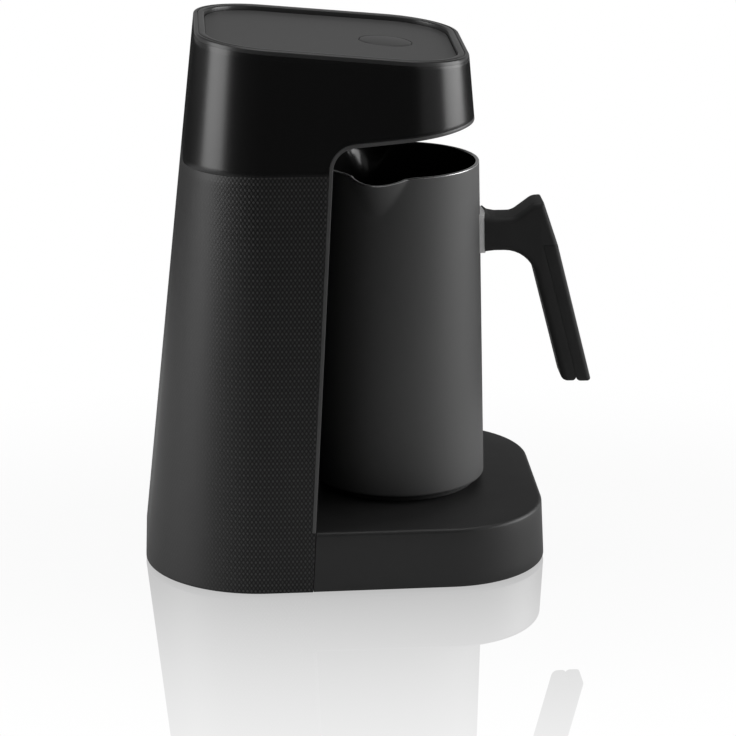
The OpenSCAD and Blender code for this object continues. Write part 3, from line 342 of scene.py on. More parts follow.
def coloured(name, colour, rough, size_mm=0.6, depth=0.01):
    finish = Finish(name)
    clouds = finish.noise(size_mm * 8, CLOUD_DETAIL)
    grain = finish.noise(size_mm)
    finish.paint(Base_Color=clouds.blend(shaded(colour, 0.85), colour),
                 Roughness=clouds.blend(rough - 0.05, rough + 0.05), Specular_IOR_Level=INNER_GLOSS,
                 Normal=finish.bump(grain, depth))
    return finish.material


def lacquered(name):
    """A circuit board: green lacquer over raised copper tracks."""
    finish = Finish(name)
    place = finish.place()
    across = (place.part("X") * (2 * pi / (TRACKS_X * MM))).apply("SINE").between(0.75, 0.9)
    upward = (place.part("Z") * (2 * pi / (TRACKS_Z * MM))).apply("SINE").between(0.8, 0.92)
    tracks = across.apply("MAXIMUM", upward) * finish.noise(7.0).between(0.45, 0.5)
    finish.paint(Base_Color=tracks.blend((0.012, 0.09, 0.035), (0.03, 0.2, 0.07)), Roughness=0.3,
                 Normal=finish.bump(tracks, 0.03))
    return finish.material


inner_grey = coloured("inner moulding", (0.11, 0.11, 0.115), 0.5)
board_green = lacquered("lacquered board")
chip_black = coloured("moulded package", (0.014, 0.014, 0.015), 0.55)
relay_blue = coloured("relay case", (0.02, 0.10, 0.36), 0.35)
winding_tape = coloured("taped winding", (0.34, 0.19, 0.06), 0.45, 1.2, 0.05)
block_green = coloured("terminal green", (0.05, 0.26, 0.12), 0.45)
ribbon_white = coloured("flat cable", (0.36, 0.36, 0.37), 0.5)
lead_red = coloured("lead sheath", (0.34, 0.03, 0.02), 0.45)
silicone_red = coloured("silicone", (0.45, 0.08, 0.05), 0.6)
nylon_white = coloured("nylon", (0.76, 0.75, 0.71), 0.5)
print("finishes:", len(bpy.data.materials))

# %% [markdown]
# The sensor behind the head's little window looks through dark red plastic. To a shader it is partly glass: some
# light goes through it, and its colour does the rest.

# %% Finish of the window
def smoked(name, colour):
    finish = Finish(name)
    clouds = finish.noise(3.0)
    finish.paint(Base_Color=clouds.blend(shaded(colour, 0.9), colour), Roughness=0.12,
                 Transmission_Weight=0.6, IOR=1.49, Normal=finish.bump(clouds, 0.002))
    return finish.material


window_red = smoked("smoked window", (0.09, 0.02, 0.025))

SLOT_FINISHES = {
    "base_plastic": base_black, "cover_plastic": cover_black, "rubber": rubber, "screw_steel": bright_steel,
    "knurled_plastic": column_black, "smooth_plastic": shell_black, "trim_plastic": trim_grey,
    "bay_plastic": bay_black, "rim_plastic": rim_grey, "panel_plastic": panel_grey,
    "button_plastic": button_grey, "inner_plastic": inner_grey, "spring_steel": bright_steel,
    "board": board_green, "chip": chip_black, "window": window_red, "relay_plastic": relay_blue,
    "copper_winding": winding_tape, "block_plastic": block_green, "ribbon": ribbon_white,
    "wire_sheath": lead_red, "hub_plastic": cover_black, "copper": copper, "silicone": silicone_red,
    "nylon": nylon_white, "jug_metal": jug_coat, "spreader": aluminium, "element": warm_steel,
    "probe_steel": bright_steel, "jug_plastic": cover_black, "bracket_steel": bracket_steel,
    "handle_plastic": handle_black}
for entry in frame["record"]["subparts"]:
    mesh = frame["nodes"][entry["node"]].data
    mesh.materials.clear()
    mesh.materials.append(SLOT_FINISHES[entry["material_slot"]])

# %% [markdown]
# ## Making a mesh
# Every piece below is a grid of points: rows that follow one edge of the piece, joined by four-sided faces. A grid
# is easy to think about, because each row is one outline of the real object. These helpers join the rows, turn
# millimetres into metres, thicken a skin into a wall, round its edges, make the piece ride on its body, and hide the
# CAD node it stands in for.

# %% Helpers for meshes
JUG_Y = -12.23556                  # the jug's axis, from the middle of the footprint
SAME_SPOT = 1e-7                   # metres within which two points are one
EDGE_STEPS, EDGE_ANGLE = 2, 50     # faces across a rounded edge, and how far an edge turns before it is rounded


def mix(a, b, t):
    return a + (b - a) * t


def steps(first, last, count):
    return [mix(first, last, i / count) for i in range(count + 1)]


def new_mesh(name, points, faces):
    """An object from points in millimetres, measured from the jug's axis."""
    mesh = bpy.data.meshes.new(name)
    mesh.from_pydata([(x * MM, (y + JUG_Y) * MM, z * MM) for x, y, z in points], [], faces)
    mesh.validate()
    mesh.update()
    piece = bpy.data.objects.new(name, mesh)
    bpy.context.scene.collection.objects.link(piece)
    return piece


def grid_faces(rows, columns, round_columns=False, round_rows=False):
    """Faces that join a grid of points. round_columns closes each row, round_rows joins the last row to the first."""
    faces = []
    for i in range(rows if round_rows else rows - 1):
        for j in range(columns if round_columns else columns - 1):
            a, b = i * columns, (i + 1) % rows * columns
            k = (j + 1) % columns
            faces.append((a + j, a + k, b + k, b + j))
    return faces


def apply_modifiers(piece):
    """Makes the modifiers' result the piece's own mesh."""
    graph = bpy.context.evaluated_depsgraph_get()
    finished = bpy.data.meshes.new_from_object(piece.evaluated_get(graph))
    piece.modifiers.clear()
    piece.data = finished
    return piece


def face_outwards(piece):
    bpy.context.view_layer.update()
    bm = bmesh.new()
    bm.from_mesh(piece.data)
    bmesh.ops.remove_doubles(bm, verts=bm.verts, dist=SAME_SPOT)
    bmesh.ops.recalc_face_normals(bm, faces=bm.faces)
    bm.to_mesh(piece.data)
    bm.free()
    return piece


def thicken(piece, wall):
    """Turns a skin into a wall, away from its outer side."""
    modifier = piece.modifiers.new("wall", "SOLIDIFY")
    modifier.thickness = wall * MM
    modifier.offset = -1
    modifier.use_even_offset = True
    return apply_modifiers(piece)


def round_edges(piece, radius):
    modifier = piece.modifiers.new("edges", "BEVEL")
    modifier.width = radius * MM
    modifier.segments = EDGE_STEPS
    modifier.limit_method = "ANGLE"
    modifier.angle_limit = radians(EDGE_ANGLE)
    modifier.use_clamp_overlap = True
    return apply_modifiers(piece)


def shade_smooth(piece, angle=35):
    piece.data.shade_smooth()
    piece.data.set_sharp_from_angle(angle=radians(angle))
    return piece


def rows_mesh(name, rows, angle, ends=False, ring=False):
    """A piece from closed rows of points, with flat ends, or with its last row joined to its first."""
    count, last = len(rows[0]), (len(rows) - 1) * len(rows[0])
    faces = grid_faces(len(rows), count, round_columns=True, round_rows=ring)
    if ends:
        faces += [tuple(range(count)), tuple(range(last, last + count))]
    return shade_smooth(face_outwards(new_mesh(name, sum(rows, []), faces)), angle)


def rows_between(first, last, count):
    """The rows that divide the way from one row to another into count equal steps."""
    return [[tuple(mix(a, b, i / count) for a, b in zip(p, q)) for p, q in zip(first, last)]
            for i in range(1, count)]


def settle(piece, body, slot, finish, *nodes):
    """Paints a piece, makes it ride on its body, and hides the CAD nodes it stands in for."""
    if not piece.data.materials:
        piece.data.materials.append(finish)
    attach(piece, body)
    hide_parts(*nodes)
    print(piece.name, len(piece.data.polygons), "faces")
    return piece


print("helpers ready")

# %% [markdown]
# ## The leaning tower
# Seen from above, the column and head have a rounded outline that shrinks towards the top: two corners at the back,
# two at the front of the head, joined by flat sides. Each corner is part of a cone, whose centre and radius change
# evenly with height. The same outline gives the shells, the trim and the rim, so it is written once: a place along
# it from 0 (middle of the front) to 5 (middle of the back), a height, and how far inside the outline to stand.

# %% The outline of the column and head
TOP_H, TOP_TILT = 206.7, radians(5.14)
FLOOR_W, TOP_W = 136.6, 97.2
BACK_FLOOR, BACK_TOP = 103.0, 80.8
CORNER_FLOOR, CORNER_TOP = 46.7, 28.4
HEAD_REACH, HEAD_CORNER, HEAD_LEAN = 25.4, 27.8, 0.09


def corner_rounds(front, z, inset):
    """The front and back corner of the right side at a height: centre x, centre y and radius."""
    t = z / TOP_H
    back_r = mix(CORNER_FLOOR, CORNER_TOP, t)
    back = (mix(FLOOR_W, TOP_W, t) / 2 - back_r, mix(BACK_FLOOR, BACK_TOP, t) - back_r, back_r - inset)
    x, y, r = front(z)
    return (x, y, r - inset), back


def head_round(z):
    return TOP_W / 2 - HEAD_CORNER, HEAD_CORNER - HEAD_REACH, HEAD_CORNER + HEAD_LEAN * (TOP_H - z)


def outline(place, z, inset=0.0, front=head_round):
    """A point of the right half: front edge 0-1, front corner 1-2, side 2-3, back corner 3-4, back edge 4-5."""
    (hx, hy, hr), (bx, by, br) = corner_rounds(front, z, inset)
    reach = sqrt((hx - bx) ** 2 + (hy - by) ** 2)
    side = atan2(hy - by, hx - bx) + acos((br - hr) / reach)    # which way the flat side faces
    leg, part = min(int(place), 4), place - min(int(place), 4)
    if leg == 0:
        return hx * part, hy - hr
    if leg == 1:
        a = mix(-pi / 2, side, part)
        return hx + hr * cos(a), hy + hr * sin(a)
    if leg == 2:
        return (mix(hx + hr * cos(side), bx + br * cos(side), part),
                mix(hy + hr * sin(side), by + br * sin(side), part))
    if leg == 3:
        a = mix(side, pi / 2, part)
        return bx + br * cos(a), by + br * sin(a)
    return bx * (1 - part), by + br


def side_place(y, z, inset=0.0, front=head_round):
    """The place on the flat side that lies at y."""
    start, end = outline(2, z, inset, front)[1], outline(3 - 1e-9, z, inset, front)[1]
    return 2 + (y - start) / (end - start)


def whole_loop(right_places):
    """Places all round: up the right side from the front, and back down the left side."""
    right = [(p, 1) for p in right_places]
    left = [(p, -1) for p in reversed(right_places) if 0 < p < 5]
    return right + left


print("width at the table", round(2 * outline(2.5, 0)[0], 1), "and at the top", round(2 * outline(2.5, TOP_H)[0], 1))

# %% [markdown]
# ## The bay
# The jug stands in a bay that is cut right across the housing. From the side it is bounded by a line up the column
# that leans forward, a rounded corner, and a line under the head that falls slightly backwards. Shells, trim and
# panel all end on this line or at a set distance from it.

# %% The bay's edge, seen from the side
ARCH_FOOT, ARCH_LEAN = 36.6, 0.056
ROOF_H, ROOF_SLOPE = 175.9, 0.09
ARCH_CORNER = 9.0
BASE_H = 24.8
FOOT_H = 1.2
TRIM_W = 1.6
WALL_LEN, ROOF_LEN = sqrt(1 + ARCH_LEAN ** 2), sqrt(1 + ROOF_SLOPE ** 2)
WALL_N = (1 / WALL_LEN, ARCH_LEAN / WALL_LEN)
ROOF_N = (ROOF_SLOPE / ROOF_LEN, 1 / ROOF_LEN)
WALL_D = (ARCH_FOOT + ARCH_LEAN * BASE_H) / WALL_LEN
ROOF_D = ROOF_H / ROOF_LEN
DET = WALL_N[0] * ROOF_N[1] - WALL_N[1] * ROOF_N[0]
CORNER_Y = ((WALL_D - ARCH_CORNER) * ROOF_N[1] - (ROOF_D - ARCH_CORNER) * WALL_N[1]) / DET
CORNER_Z = ((ROOF_D - ARCH_CORNER) * WALL_N[0] - (WALL_D - ARCH_CORNER) * ROOF_N[0]) / DET
CORNER_FROM, CORNER_TO = atan2(WALL_N[1], WALL_N[0]), atan2(ROOF_N[1], ROOF_N[0])


def wall_y(z, grow=0.0):
    return (WALL_D + grow - WALL_N[1] * z) / WALL_N[0]


def roof_z(y, grow=0.0):
    return (ROOF_D + grow - ROOF_N[0] * y) / ROOF_N[1]


def corner_point(angle, grow=0.0):
    return CORNER_Y + (ARCH_CORNER + grow) * cos(angle), CORNER_Z + (ARCH_CORNER + grow) * sin(angle)


def top_plane(depth):
    """Height of the sloping top, or of a plane below it, over y."""
    return lambda y: TOP_H + (y * sin(TOP_TILT) - depth) / cos(TOP_TILT)


def meet(place, surface, inset=0.0, start=180.0):
    """The height at which the outline's upright line through a place meets a sloping surface."""
    z = start
    for _ in range(12):
        z = surface(outline(place, z, inset)[1])
    return z


print("the bay's corner is centred at", round(CORNER_Y, 2), round(CORNER_Z, 2))

# %% [markdown]
# ## Upper shell
# The smooth black cap of the column and head is one moulding, 2.4 mm thick. Its lower edge is the seam with the
# knurled shell at the back, and the bay's edge in front. It could be cut from a full tower with a boolean, but cuts
# leave long thin faces that spoil the reflections on polished black. Here every upright line of the grid ends
# exactly on the edge, so the surface stays even.

# %% Model the upper shell
SEAM_H = 163.5
SHELL_WALL = 2.4
RIM_H = 1.8
SHELL_ROWS = 20
ARC_STEPS = 16


def bay_edge(y):
    """Lower edge of the upper shell over y: the seam, the bay's corner, or the underside of the head."""
    far = ARCH_CORNER + TRIM_W
    if y >= wall_y(SEAM_H, TRIM_W) - 1e-6:
        return SEAM_H
    if y > CORNER_Y + far * cos(CORNER_FROM):
        return max(SEAM_H, (WALL_D + TRIM_W - WALL_N[0] * y) / WALL_N[1])
    if y > CORNER_Y + far * cos(CORNER_TO):
        return CORNER_Z + sqrt(far ** 2 - (y - CORNER_Y) ** 2)
    return roof_z(y, TRIM_W)


def shell_places():
    """Places along half the outline, close together where the bay's corner cuts the side."""
    corner = [corner_point(a, TRIM_W) for a in steps(CORNER_TO, CORNER_FROM, 14)]
    cuts = [side_place(y, z) for y, z in corner] + [side_place(wall_y(SEAM_H, TRIM_W), SEAM_H)]
    return ([0, 0.5] + steps(1, 2, ARC_STEPS) + steps(2, cuts[0], 4)[1:-1] + cuts
            + steps(cuts[-1], 3, 6)[1:-1] + steps(3, 4, ARC_STEPS) + [4.5, 5])


def column_of(place, low, high, rows):
    return [outline(place, z) + (z,) for z in steps(low, high, rows)]


def sided(point, side):
    return point[0] * side, point[1], point[2]


def upper_shell():
    loop = whole_loop(shell_places())
    seam_place = side_place(wall_y(SEAM_H, TRIM_W), SEAM_H)
    columns = []
    for place, side in loop:
        low = SEAM_H if place >= seam_place - 1e-9 else meet(place, bay_edge, start=175.0)
        high = meet(place, top_plane(RIM_H), start=200.0)
        columns.append([sided(p, side) for p in column_of(place, low, high, SHELL_ROWS)])
    points = [columns[j][i] for i in range(SHELL_ROWS + 1) for j in range(len(columns))]
    piece = new_mesh("upper_shell_skin", points, grid_faces(SHELL_ROWS + 1, len(columns), round_columns=True))
    thicken(face_outwards(piece), SHELL_WALL)
    return shade_smooth(round_edges(piece, 0.3))


settle(upper_shell(), "housing", "smooth_plastic", shell_black, "upper_shell")

# %% [markdown]
# ## Knurled lower shell
# The lower shell wraps the column from the table to the seam: up one side, round the back and down the other side.
# Its front edges follow the bay. The distance round the column is measured along the outline and stored on every
# point, because the knurl is a pattern in that distance and the height, and not in plain X and Y.

# %% Model the lower shell
KNURL_FROM, KNURL_TO = 6.0, 26.0   # millimetres round the corner over which the knurl fades
KNURL_LEFT = 0.12                  # share of it that is left behind


def lower_shell():
    heights = [FOOT_H] + steps(FOOT_H + 1, BASE_H, 6) + steps(BASE_H + 0.15, SEAM_H, 34)
    rows = []
    for z in heights:
        grow = TRIM_W if z > BASE_H + 0.1 else 0.0
        edge = side_place(wall_y(z, grow), z)
        rows.append([(p, side, z) for side, places in (
            (1, steps(edge, 3, 8)[:-1] + steps(3, 4, 28) + [4.5, 5]),
            (-1, [4.5] + steps(4, 3, 28) + steps(3, edge, 8)[1:])) for p in places])
    points = [sided(outline(p, z) + (z,), side) for row in rows for p, side, z in row]
    piece = new_mesh("lower_shell_skin", points, grid_faces(len(rows), len(rows[0])))
    thicken(face_outwards(piece), SHELL_WALL)
    round_edges(piece, 0.25)
    measure_round(piece)
    return shade_smooth(piece)


def measure_round(piece):
    """Stores on each point how far round the corner it lies, how high, and how strong the knurl is there."""
    spot = piece.data.attributes.new("around", "FLOAT_VECTOR", "POINT")
    for vertex, value in zip(piece.data.vertices, spot.data):
        x, y, z = vertex.co.x / MM, vertex.co.y / MM - JUG_Y, vertex.co.z / MM
        (_, _, _), (bx, by, br) = corner_rounds(head_round, z, 0.0)
        if y < by:
            around = y - by
        elif abs(x) > bx:
            around = br * atan2(y - by, abs(x) - bx)
        else:
            around = br * pi / 2 + bx - abs(x)
        fade = 1 - min(1, max(0, (around - KNURL_FROM) / (KNURL_TO - KNURL_FROM)))
        value.vector = (around * MM, z * MM, mix(KNURL_LEFT, 1, fade))


settle(lower_shell(), "housing", "knurled_plastic", column_black, "lower_shell")

# %% [markdown]
# ## Trim along the bay
# A satin grey band, 1.6 mm wide, follows the bay's edge up the column, round the corner and right round the
# underside of the head. It is one small profile with rounded edges, carried along that path.

# %% Model the trim
TRIM_PROFILE = [(0.0, 0.5), (0.15, 0.15), (0.5, 0.0), (1.1, 0.0), (1.45, 0.1), (1.6, 0.45),
                (1.6, 2.0), (1.3, 2.4), (0.3, 2.4), (0.0, 2.1)]   # out from the bay's edge, in from the side


def trim_paths():
    """Stations on the right side, each a function of how far out from the bay's edge and how far in to stand."""
    def on_wall(z):
        def at(grow, inset):
            y = wall_y(z, grow)
            return outline(side_place(y, z, inset), z, inset) + (z,)
        return at

    def on_corner(angle):
        def at(grow, inset):
            y, z = corner_point(angle, grow)
            return outline(side_place(y, z, inset), z, inset) + (z,)
        return at

    def on_roof(place):
        def at(grow, inset):
            z = meet(place, lambda y: roof_z(y, grow), inset)
            return outline(place, z, inset) + (z,)
        return at

    tangent = side_place(*corner_point(CORNER_TO))
    return ([on_wall(z) for z in steps(BASE_H + 0.05, corner_point(CORNER_FROM)[1], 24)]
            + [on_corner(a) for a in steps(CORNER_FROM, CORNER_TO, 14)[1:-1]]
            + [on_roof(p) for p in steps(tangent, 2, 4)[:-1] + steps(2, 1, 20) + [0.5, 0]])


def arch_trim():
    paths = trim_paths()
    stations = [(at, 1) for at in paths] + [(at, -1) for at in reversed(paths[:-1])]
    rows = [[sided(at(grow, inset), side) for grow, inset in TRIM_PROFILE] for at, side in stations]
    return rows_mesh("bay_trim", rows, 40, ends=True)


settle(arch_trim(), "housing", "trim_plastic", trim_grey, "arch_trim")

# %% [markdown]
# ## The rim and the recessed top
# A grey rim frames the sloping top: a narrow lip outside, a wider land inside, and between them a groove that shows
# as a dark line. The panel lies two millimetres below the rim. Both follow the tower's outline in the plane of the
# slope. The panel has a round hole for the button, so its grid runs from the outline inwards to the hole's circle.

# %% Model the rim and the panel
RIM_W = 4.3
TOP_RECESS = 2.0
RIM_PROFILE = [(0.0, RIM_H), (0.0, 0.65), (0.12, 0.3), (0.4, 0.06), (0.8, 0.0), (1.35, 0.0), (1.5, 0.1), (1.55, 0.5),
               (1.8, 0.5), (1.85, 0.1), (2.0, 0.0), (3.7, 0.0), (4.1, 0.12), (4.3, 0.45),
               (4.3, TOP_RECESS + 0.3), (3.8, TOP_RECESS + 0.3), (3.8, RIM_H)]   # in from the side, down from the top
LOOP_PLACES = [0, 0.5] + steps(1, 2, 20) + [2.2, 2.4, 2.6, 2.8] + steps(3, 4, 20) + [4.5, 5]
LOOP = whole_loop(LOOP_PLACES)


def slope_ring(inset, depth):
    """A closed row of points: the outline set in by a distance, in the plane that lies depth below the top."""
    ring = []
    for place, side in LOOP:
        z = meet(place, top_plane(depth), inset, 205.0)
        ring.append(sided(outline(place, z, inset) + (z,), side))
    return ring


def top_rim():
    return rows_mesh("rim_band", [slope_ring(*spot) for spot in RIM_PROFILE], 50, ring=True)


settle(top_rim(), "housing", "rim_plastic", rim_grey, "top_rim")

BUTTON_Y, BUTTON_R, BUTTON_GAP = 5.0, 10.4, 0.25
BUTTON_SIDES = 72
TOP_T, TOP_GAP, TOP_EDGE = 2.0, 0.12, 0.3      # the panel: thickness, gap to the rim, and the slant of its edge
HOLE_EDGE = 0.35


def on_slope(x, along, depth):
    """A point given across, along the slope and below it, in the frame of the sloping top."""
    return (x, along * cos(TOP_TILT) + depth * sin(TOP_TILT),
            TOP_H + along * sin(TOP_TILT) - depth * cos(TOP_TILT))


def slope_circle(radius, depth):
    turn = [2 * pi * i / BUTTON_SIDES for i in range(BUTTON_SIDES)]
    return [on_slope(radius * cos(a), BUTTON_Y + radius * sin(a), depth) for a in turn]


def button_ring(radius, depth):
    """A circle round the button with a point for each place of the outline, at the same bearing."""
    ring = []
    for x, y, _ in slope_ring(RIM_W, TOP_RECESS):
        bearing = atan2(y / cos(TOP_TILT) - BUTTON_Y, x)
        ring.append(on_slope(radius * cos(bearing), BUTTON_Y + radius * sin(bearing), depth))
    return ring


def top_panel():
    edge = RIM_W + TOP_GAP
    hole = BUTTON_R + BUTTON_GAP
    outer, inner = slope_ring(edge + TOP_EDGE, TOP_RECESS), button_ring(hole + HOLE_EDGE, TOP_RECESS)
    rows = ([slope_ring(edge, TOP_RECESS + TOP_T), slope_ring(edge, TOP_RECESS + TOP_EDGE), outer]
            + rows_between(outer, inner, 4)
            + [inner, button_ring(hole, TOP_RECESS + HOLE_EDGE), button_ring(hole, TOP_RECESS + TOP_T)])
    return rows_mesh("top_plate", rows, 30, ring=True)


settle(top_panel(), "housing", "panel_plastic", panel_grey, "top_panel")

# %% [markdown]
# ## The button
# The button is a round cap, slightly domed so that a finger finds it, with a softly rounded edge. It is turned from
# one profile: a list of radii and depths, swept round the button's own axis. Its stem goes down through the guide.

# %% Model the button
BUTTON_T = 3.0
STEM_R, STEM_END = 2.6, 13.4
CROWN = 0.6                        # how far its middle stands above its edge


def button_profile():
    crown = [(r, TOP_RECESS - CROWN * (1 - (r / BUTTON_R) ** 2)) for r in steps(0.05, BUTTON_R - 0.6, 12)]
    edge = [(BUTTON_R - 0.2, TOP_RECESS + 0.12), (BUTTON_R, TOP_RECESS + 0.4)]
    under = [(BUTTON_R, TOP_RECESS + BUTTON_T - 0.2), (BUTTON_R - 0.2, TOP_RECESS + BUTTON_T),
             (STEM_R, TOP_RECESS + BUTTON_T), (STEM_R, STEM_END), (0.05, STEM_END)]
    return crown + edge + under


def button():
    return rows_mesh("button_cap", [slope_circle(*spot) for spot in button_profile()], 40, ends=True)


settle(button(), "button", "button_plastic", button_grey, "power_button")

# %% [markdown]
# Under the cap a coil spring pushes the button back up. It is one round wire along a helix: each row of points is the
# wire's section, a little further round and a little higher. Its foot stands on the guide's floor.

# %% Model the button's spring
SPRING_R, SPRING_WIRE, SPRING_TURNS = 4.6, 0.6, 4
SPRING_TOP, SPRING_FOOT = 5.5, 9.5           # depths of the wire's middle at the spring's two ends
WIRE_SIDES, TURN_STEPS = 10, 24


def spring():
    """The wire's round section, set along a helix round the button's axis."""
    rows = []
    for turn in steps(0, 2 * pi * SPRING_TURNS, TURN_STEPS * SPRING_TURNS):
        depth = mix(SPRING_FOOT, SPRING_TOP, turn / (2 * pi * SPRING_TURNS))
        section = steps(0, 2 * pi, WIRE_SIDES)[:-1]
        rows.append([on_slope((SPRING_R + SPRING_WIRE / 2 * cos(a)) * cos(turn),
                              BUTTON_Y + (SPRING_R + SPRING_WIRE / 2 * cos(a)) * sin(turn),
                              depth - SPRING_WIRE / 2 * sin(a)) for a in section])
    return rows_mesh("press_spring", rows, 60, ends=True)


coil = settle(spring(), "housing", "spring_steel", bright_steel, "button_spring")
foot_x, foot_y, foot_z = on_slope(0, BUTTON_Y, SPRING_FOOT + SPRING_WIRE / 2)
foot_x * MM
(foot_y + JUG_Y) * MM
foot_z * MM
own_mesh(coil)

# %% [markdown]
# ## The base
# The base is a wide plinth with big round corners. Its upper edge is rounded, and that edge draws a soft light line
# in the photograph. In front of the column its outline is the full base; behind, it steps in to slip inside the
# knurled shell. Rows run from the inside of the wall, down under its lower edge, up the outside, over the rounded
# edge, across the deck and down into the hole for the connector.

# %% Model the base
BASE_REACH, BASE_CORNER = 57.2, 41.2
BASE_FRONT_W, BASE_LEAN = 132.0, 0.05
FIT = 0.2
EDGE_R = 1.7
HUB_R = 16.0


def base_round(z):
    return BASE_FRONT_W / 2 - BASE_CORNER, BASE_CORNER - BASE_REACH, BASE_CORNER - BASE_LEAN * z


def base_ring(z, inset):
    """The base's outline at a height: full in front of the column, stepped in behind it."""
    step = side_place(wall_y(z, -FIT), z, 0.0, base_round)
    behind = SHELL_WALL + FIT
    right = [(p, inset) for p in [0, 0.5] + steps(1, 2, 28) + steps(2, step, 8)[1:]]
    right += [(p, behind + max(0, inset - 1.0)) for p in steps(step, 3, 4)[:-1] + steps(3, 4, 12) + [4.5, 5]]
    loop = [(p, i, 1) for p, i in right] + [(p, i, -1) for p, i in reversed(right) if 0 < p < 5]
    return [sided(outline(p, z, i, base_round) + (z,), side) for p, i, side in loop]


def base():
    arc = [(EDGE_R * (1 - cos(a)), BASE_H - EDGE_R * (1 - sin(a))) for a in steps(0, pi / 2, 6)]
    profile = ([(SHELL_WALL, BASE_H - SHELL_WALL), (SHELL_WALL, FOOT_H), (0.35, FOOT_H), (0.08, FOOT_H + 0.08),
                (0.0, FOOT_H + 0.4)] + [(0.0, z) for z in steps(6, BASE_H - EDGE_R, 3)[:-1]] + arc)
    rows = [base_ring(z, inset) for inset, z in profile]
    deck = rows[-1]
    hole = [bearing_point(x, y, HUB_R + FIT, BASE_H) for x, y, z in deck]
    rows += rows_between(deck, hole, 5) + [hole, [(x, y, BASE_H - SHELL_WALL) for x, y, z in hole]]
    return rows_mesh("base_moulding", rows, 30, ring=True)


def bearing_point(x, y, radius, z):
    """The point of a circle round the jug's axis that lies on the same bearing."""
    length = sqrt(x * x + y * y)
    return x / length * radius, y / length * radius, z


settle(base(), "housing", "base_plastic", base_black, "base_housing")

# %% [markdown]
# ## The jug
# The jug is drawn from one sheet: a leaning wall with a lip pressed outwards on either side. Turning a profile gives
# the wall; the lips could be sculpted afterwards, but they are simple to say in numbers. Each is a round that leans
# out of the wall, narrow below and wide at the rim, and where it meets the wall the two run softly into each other.
# The inside follows 1.4 mm behind the outside, and the rim between them is rounded bare metal.

# %% The shape of the jug's wall
JUG_FOOT_R, JUG_RIM_R = 35.2, 32.1
JUG_BOTTOM, JUG_TOP = 27.8, 157.4
JUG_WALL = 1.4
SPOUT_ANGLE, SPOUT_REACH = 110.0, 37.4
SPOUT_LIP_R, SPOUT_FOOT_R = 10.5, 6.5
SPOUT_DROP, SPOUT_DIP = 16.0, 2.3
SPOUT_BLEND, SPOUT_HALF = 8.0, 30.0


def jug_r(z):
    return mix(JUG_FOOT_R, JUG_RIM_R, (z - JUG_BOTTOM) / (JUG_TOP - JUG_BOTTOM))


def spout_away(degrees):
    """Degrees from a direction to the nearer spout, seen from above."""
    offs = [abs((degrees - 270 - side * SPOUT_ANGLE + 180) % 360 - 180) for side in (1, -1)]
    return min(offs)


def wall_radius(z, degrees, inset):
    risen = max(0, min(1, (z - JUG_TOP + SPOUT_DROP) / SPOUT_DROP))
    up = risen ** 2
    centre = mix(jug_r(JUG_TOP - SPOUT_DROP) - SPOUT_FOOT_R - 0.2, SPOUT_REACH - SPOUT_LIP_R, up)
    round_r = mix(SPOUT_FOOT_R, SPOUT_LIP_R, up) - inset
    away = radians(spout_away(degrees))
    plain = jug_r(z) - inset
    met = away < 1.3 and centre * sin(away) < round_r
    swell = centre * cos(away) + sqrt(round_r ** 2 - (centre * sin(away)) ** 2) if met else 0
    soft = mix(0.3, SPOUT_BLEND, risen)
    return max(plain, swell) + max(soft - abs(plain - swell), 0) ** 2 / (4 * soft)


def rim_height(degrees):
    near = min(1, spout_away(degrees) / SPOUT_HALF)
    return JUG_TOP - SPOUT_DIP * cos(pi / 2 * near) ** 2


print("the lip reaches", round(wall_radius(JUG_TOP, 16, 0), 1), "mm from the axis")

# %% [markdown]
# The wall's rows run up the outside, over the rim and down the inside to the floor, and then under the floor. Three
# finishes share the mesh: coat outside, a darker coat inside, and bare metal on the rim.

# %% Model the jug
JUG_COLUMNS = 240
FLOOR_LOW, FLOOR_TOP = 44.5, 46.1
FLOOR_RING = 25.0                  # how far in from the wall the rows end, where one flat face closes the floor
PLAIN_TOP = JUG_TOP - SPOUT_DROP - 4           # below this the wall is round all the way
WALL_FROM, SPOUT_ROWS = 34, 22


def jug_row(z_of, inset):
    row = []
    for j in range(JUG_COLUMNS):
        degrees = 360 * j / JUG_COLUMNS
        z = z_of(degrees)
        r = wall_radius(z, degrees, inset)
        row.append((r * cos(radians(degrees)), r * sin(radians(degrees)), z))
    return row


def level(z):
    return lambda degrees: z


def below_rim(share, drop):
    """Heights between the spouts' lower end and the rim."""
    return lambda degrees: mix(PLAIN_TOP, rim_height(degrees) - drop, share)


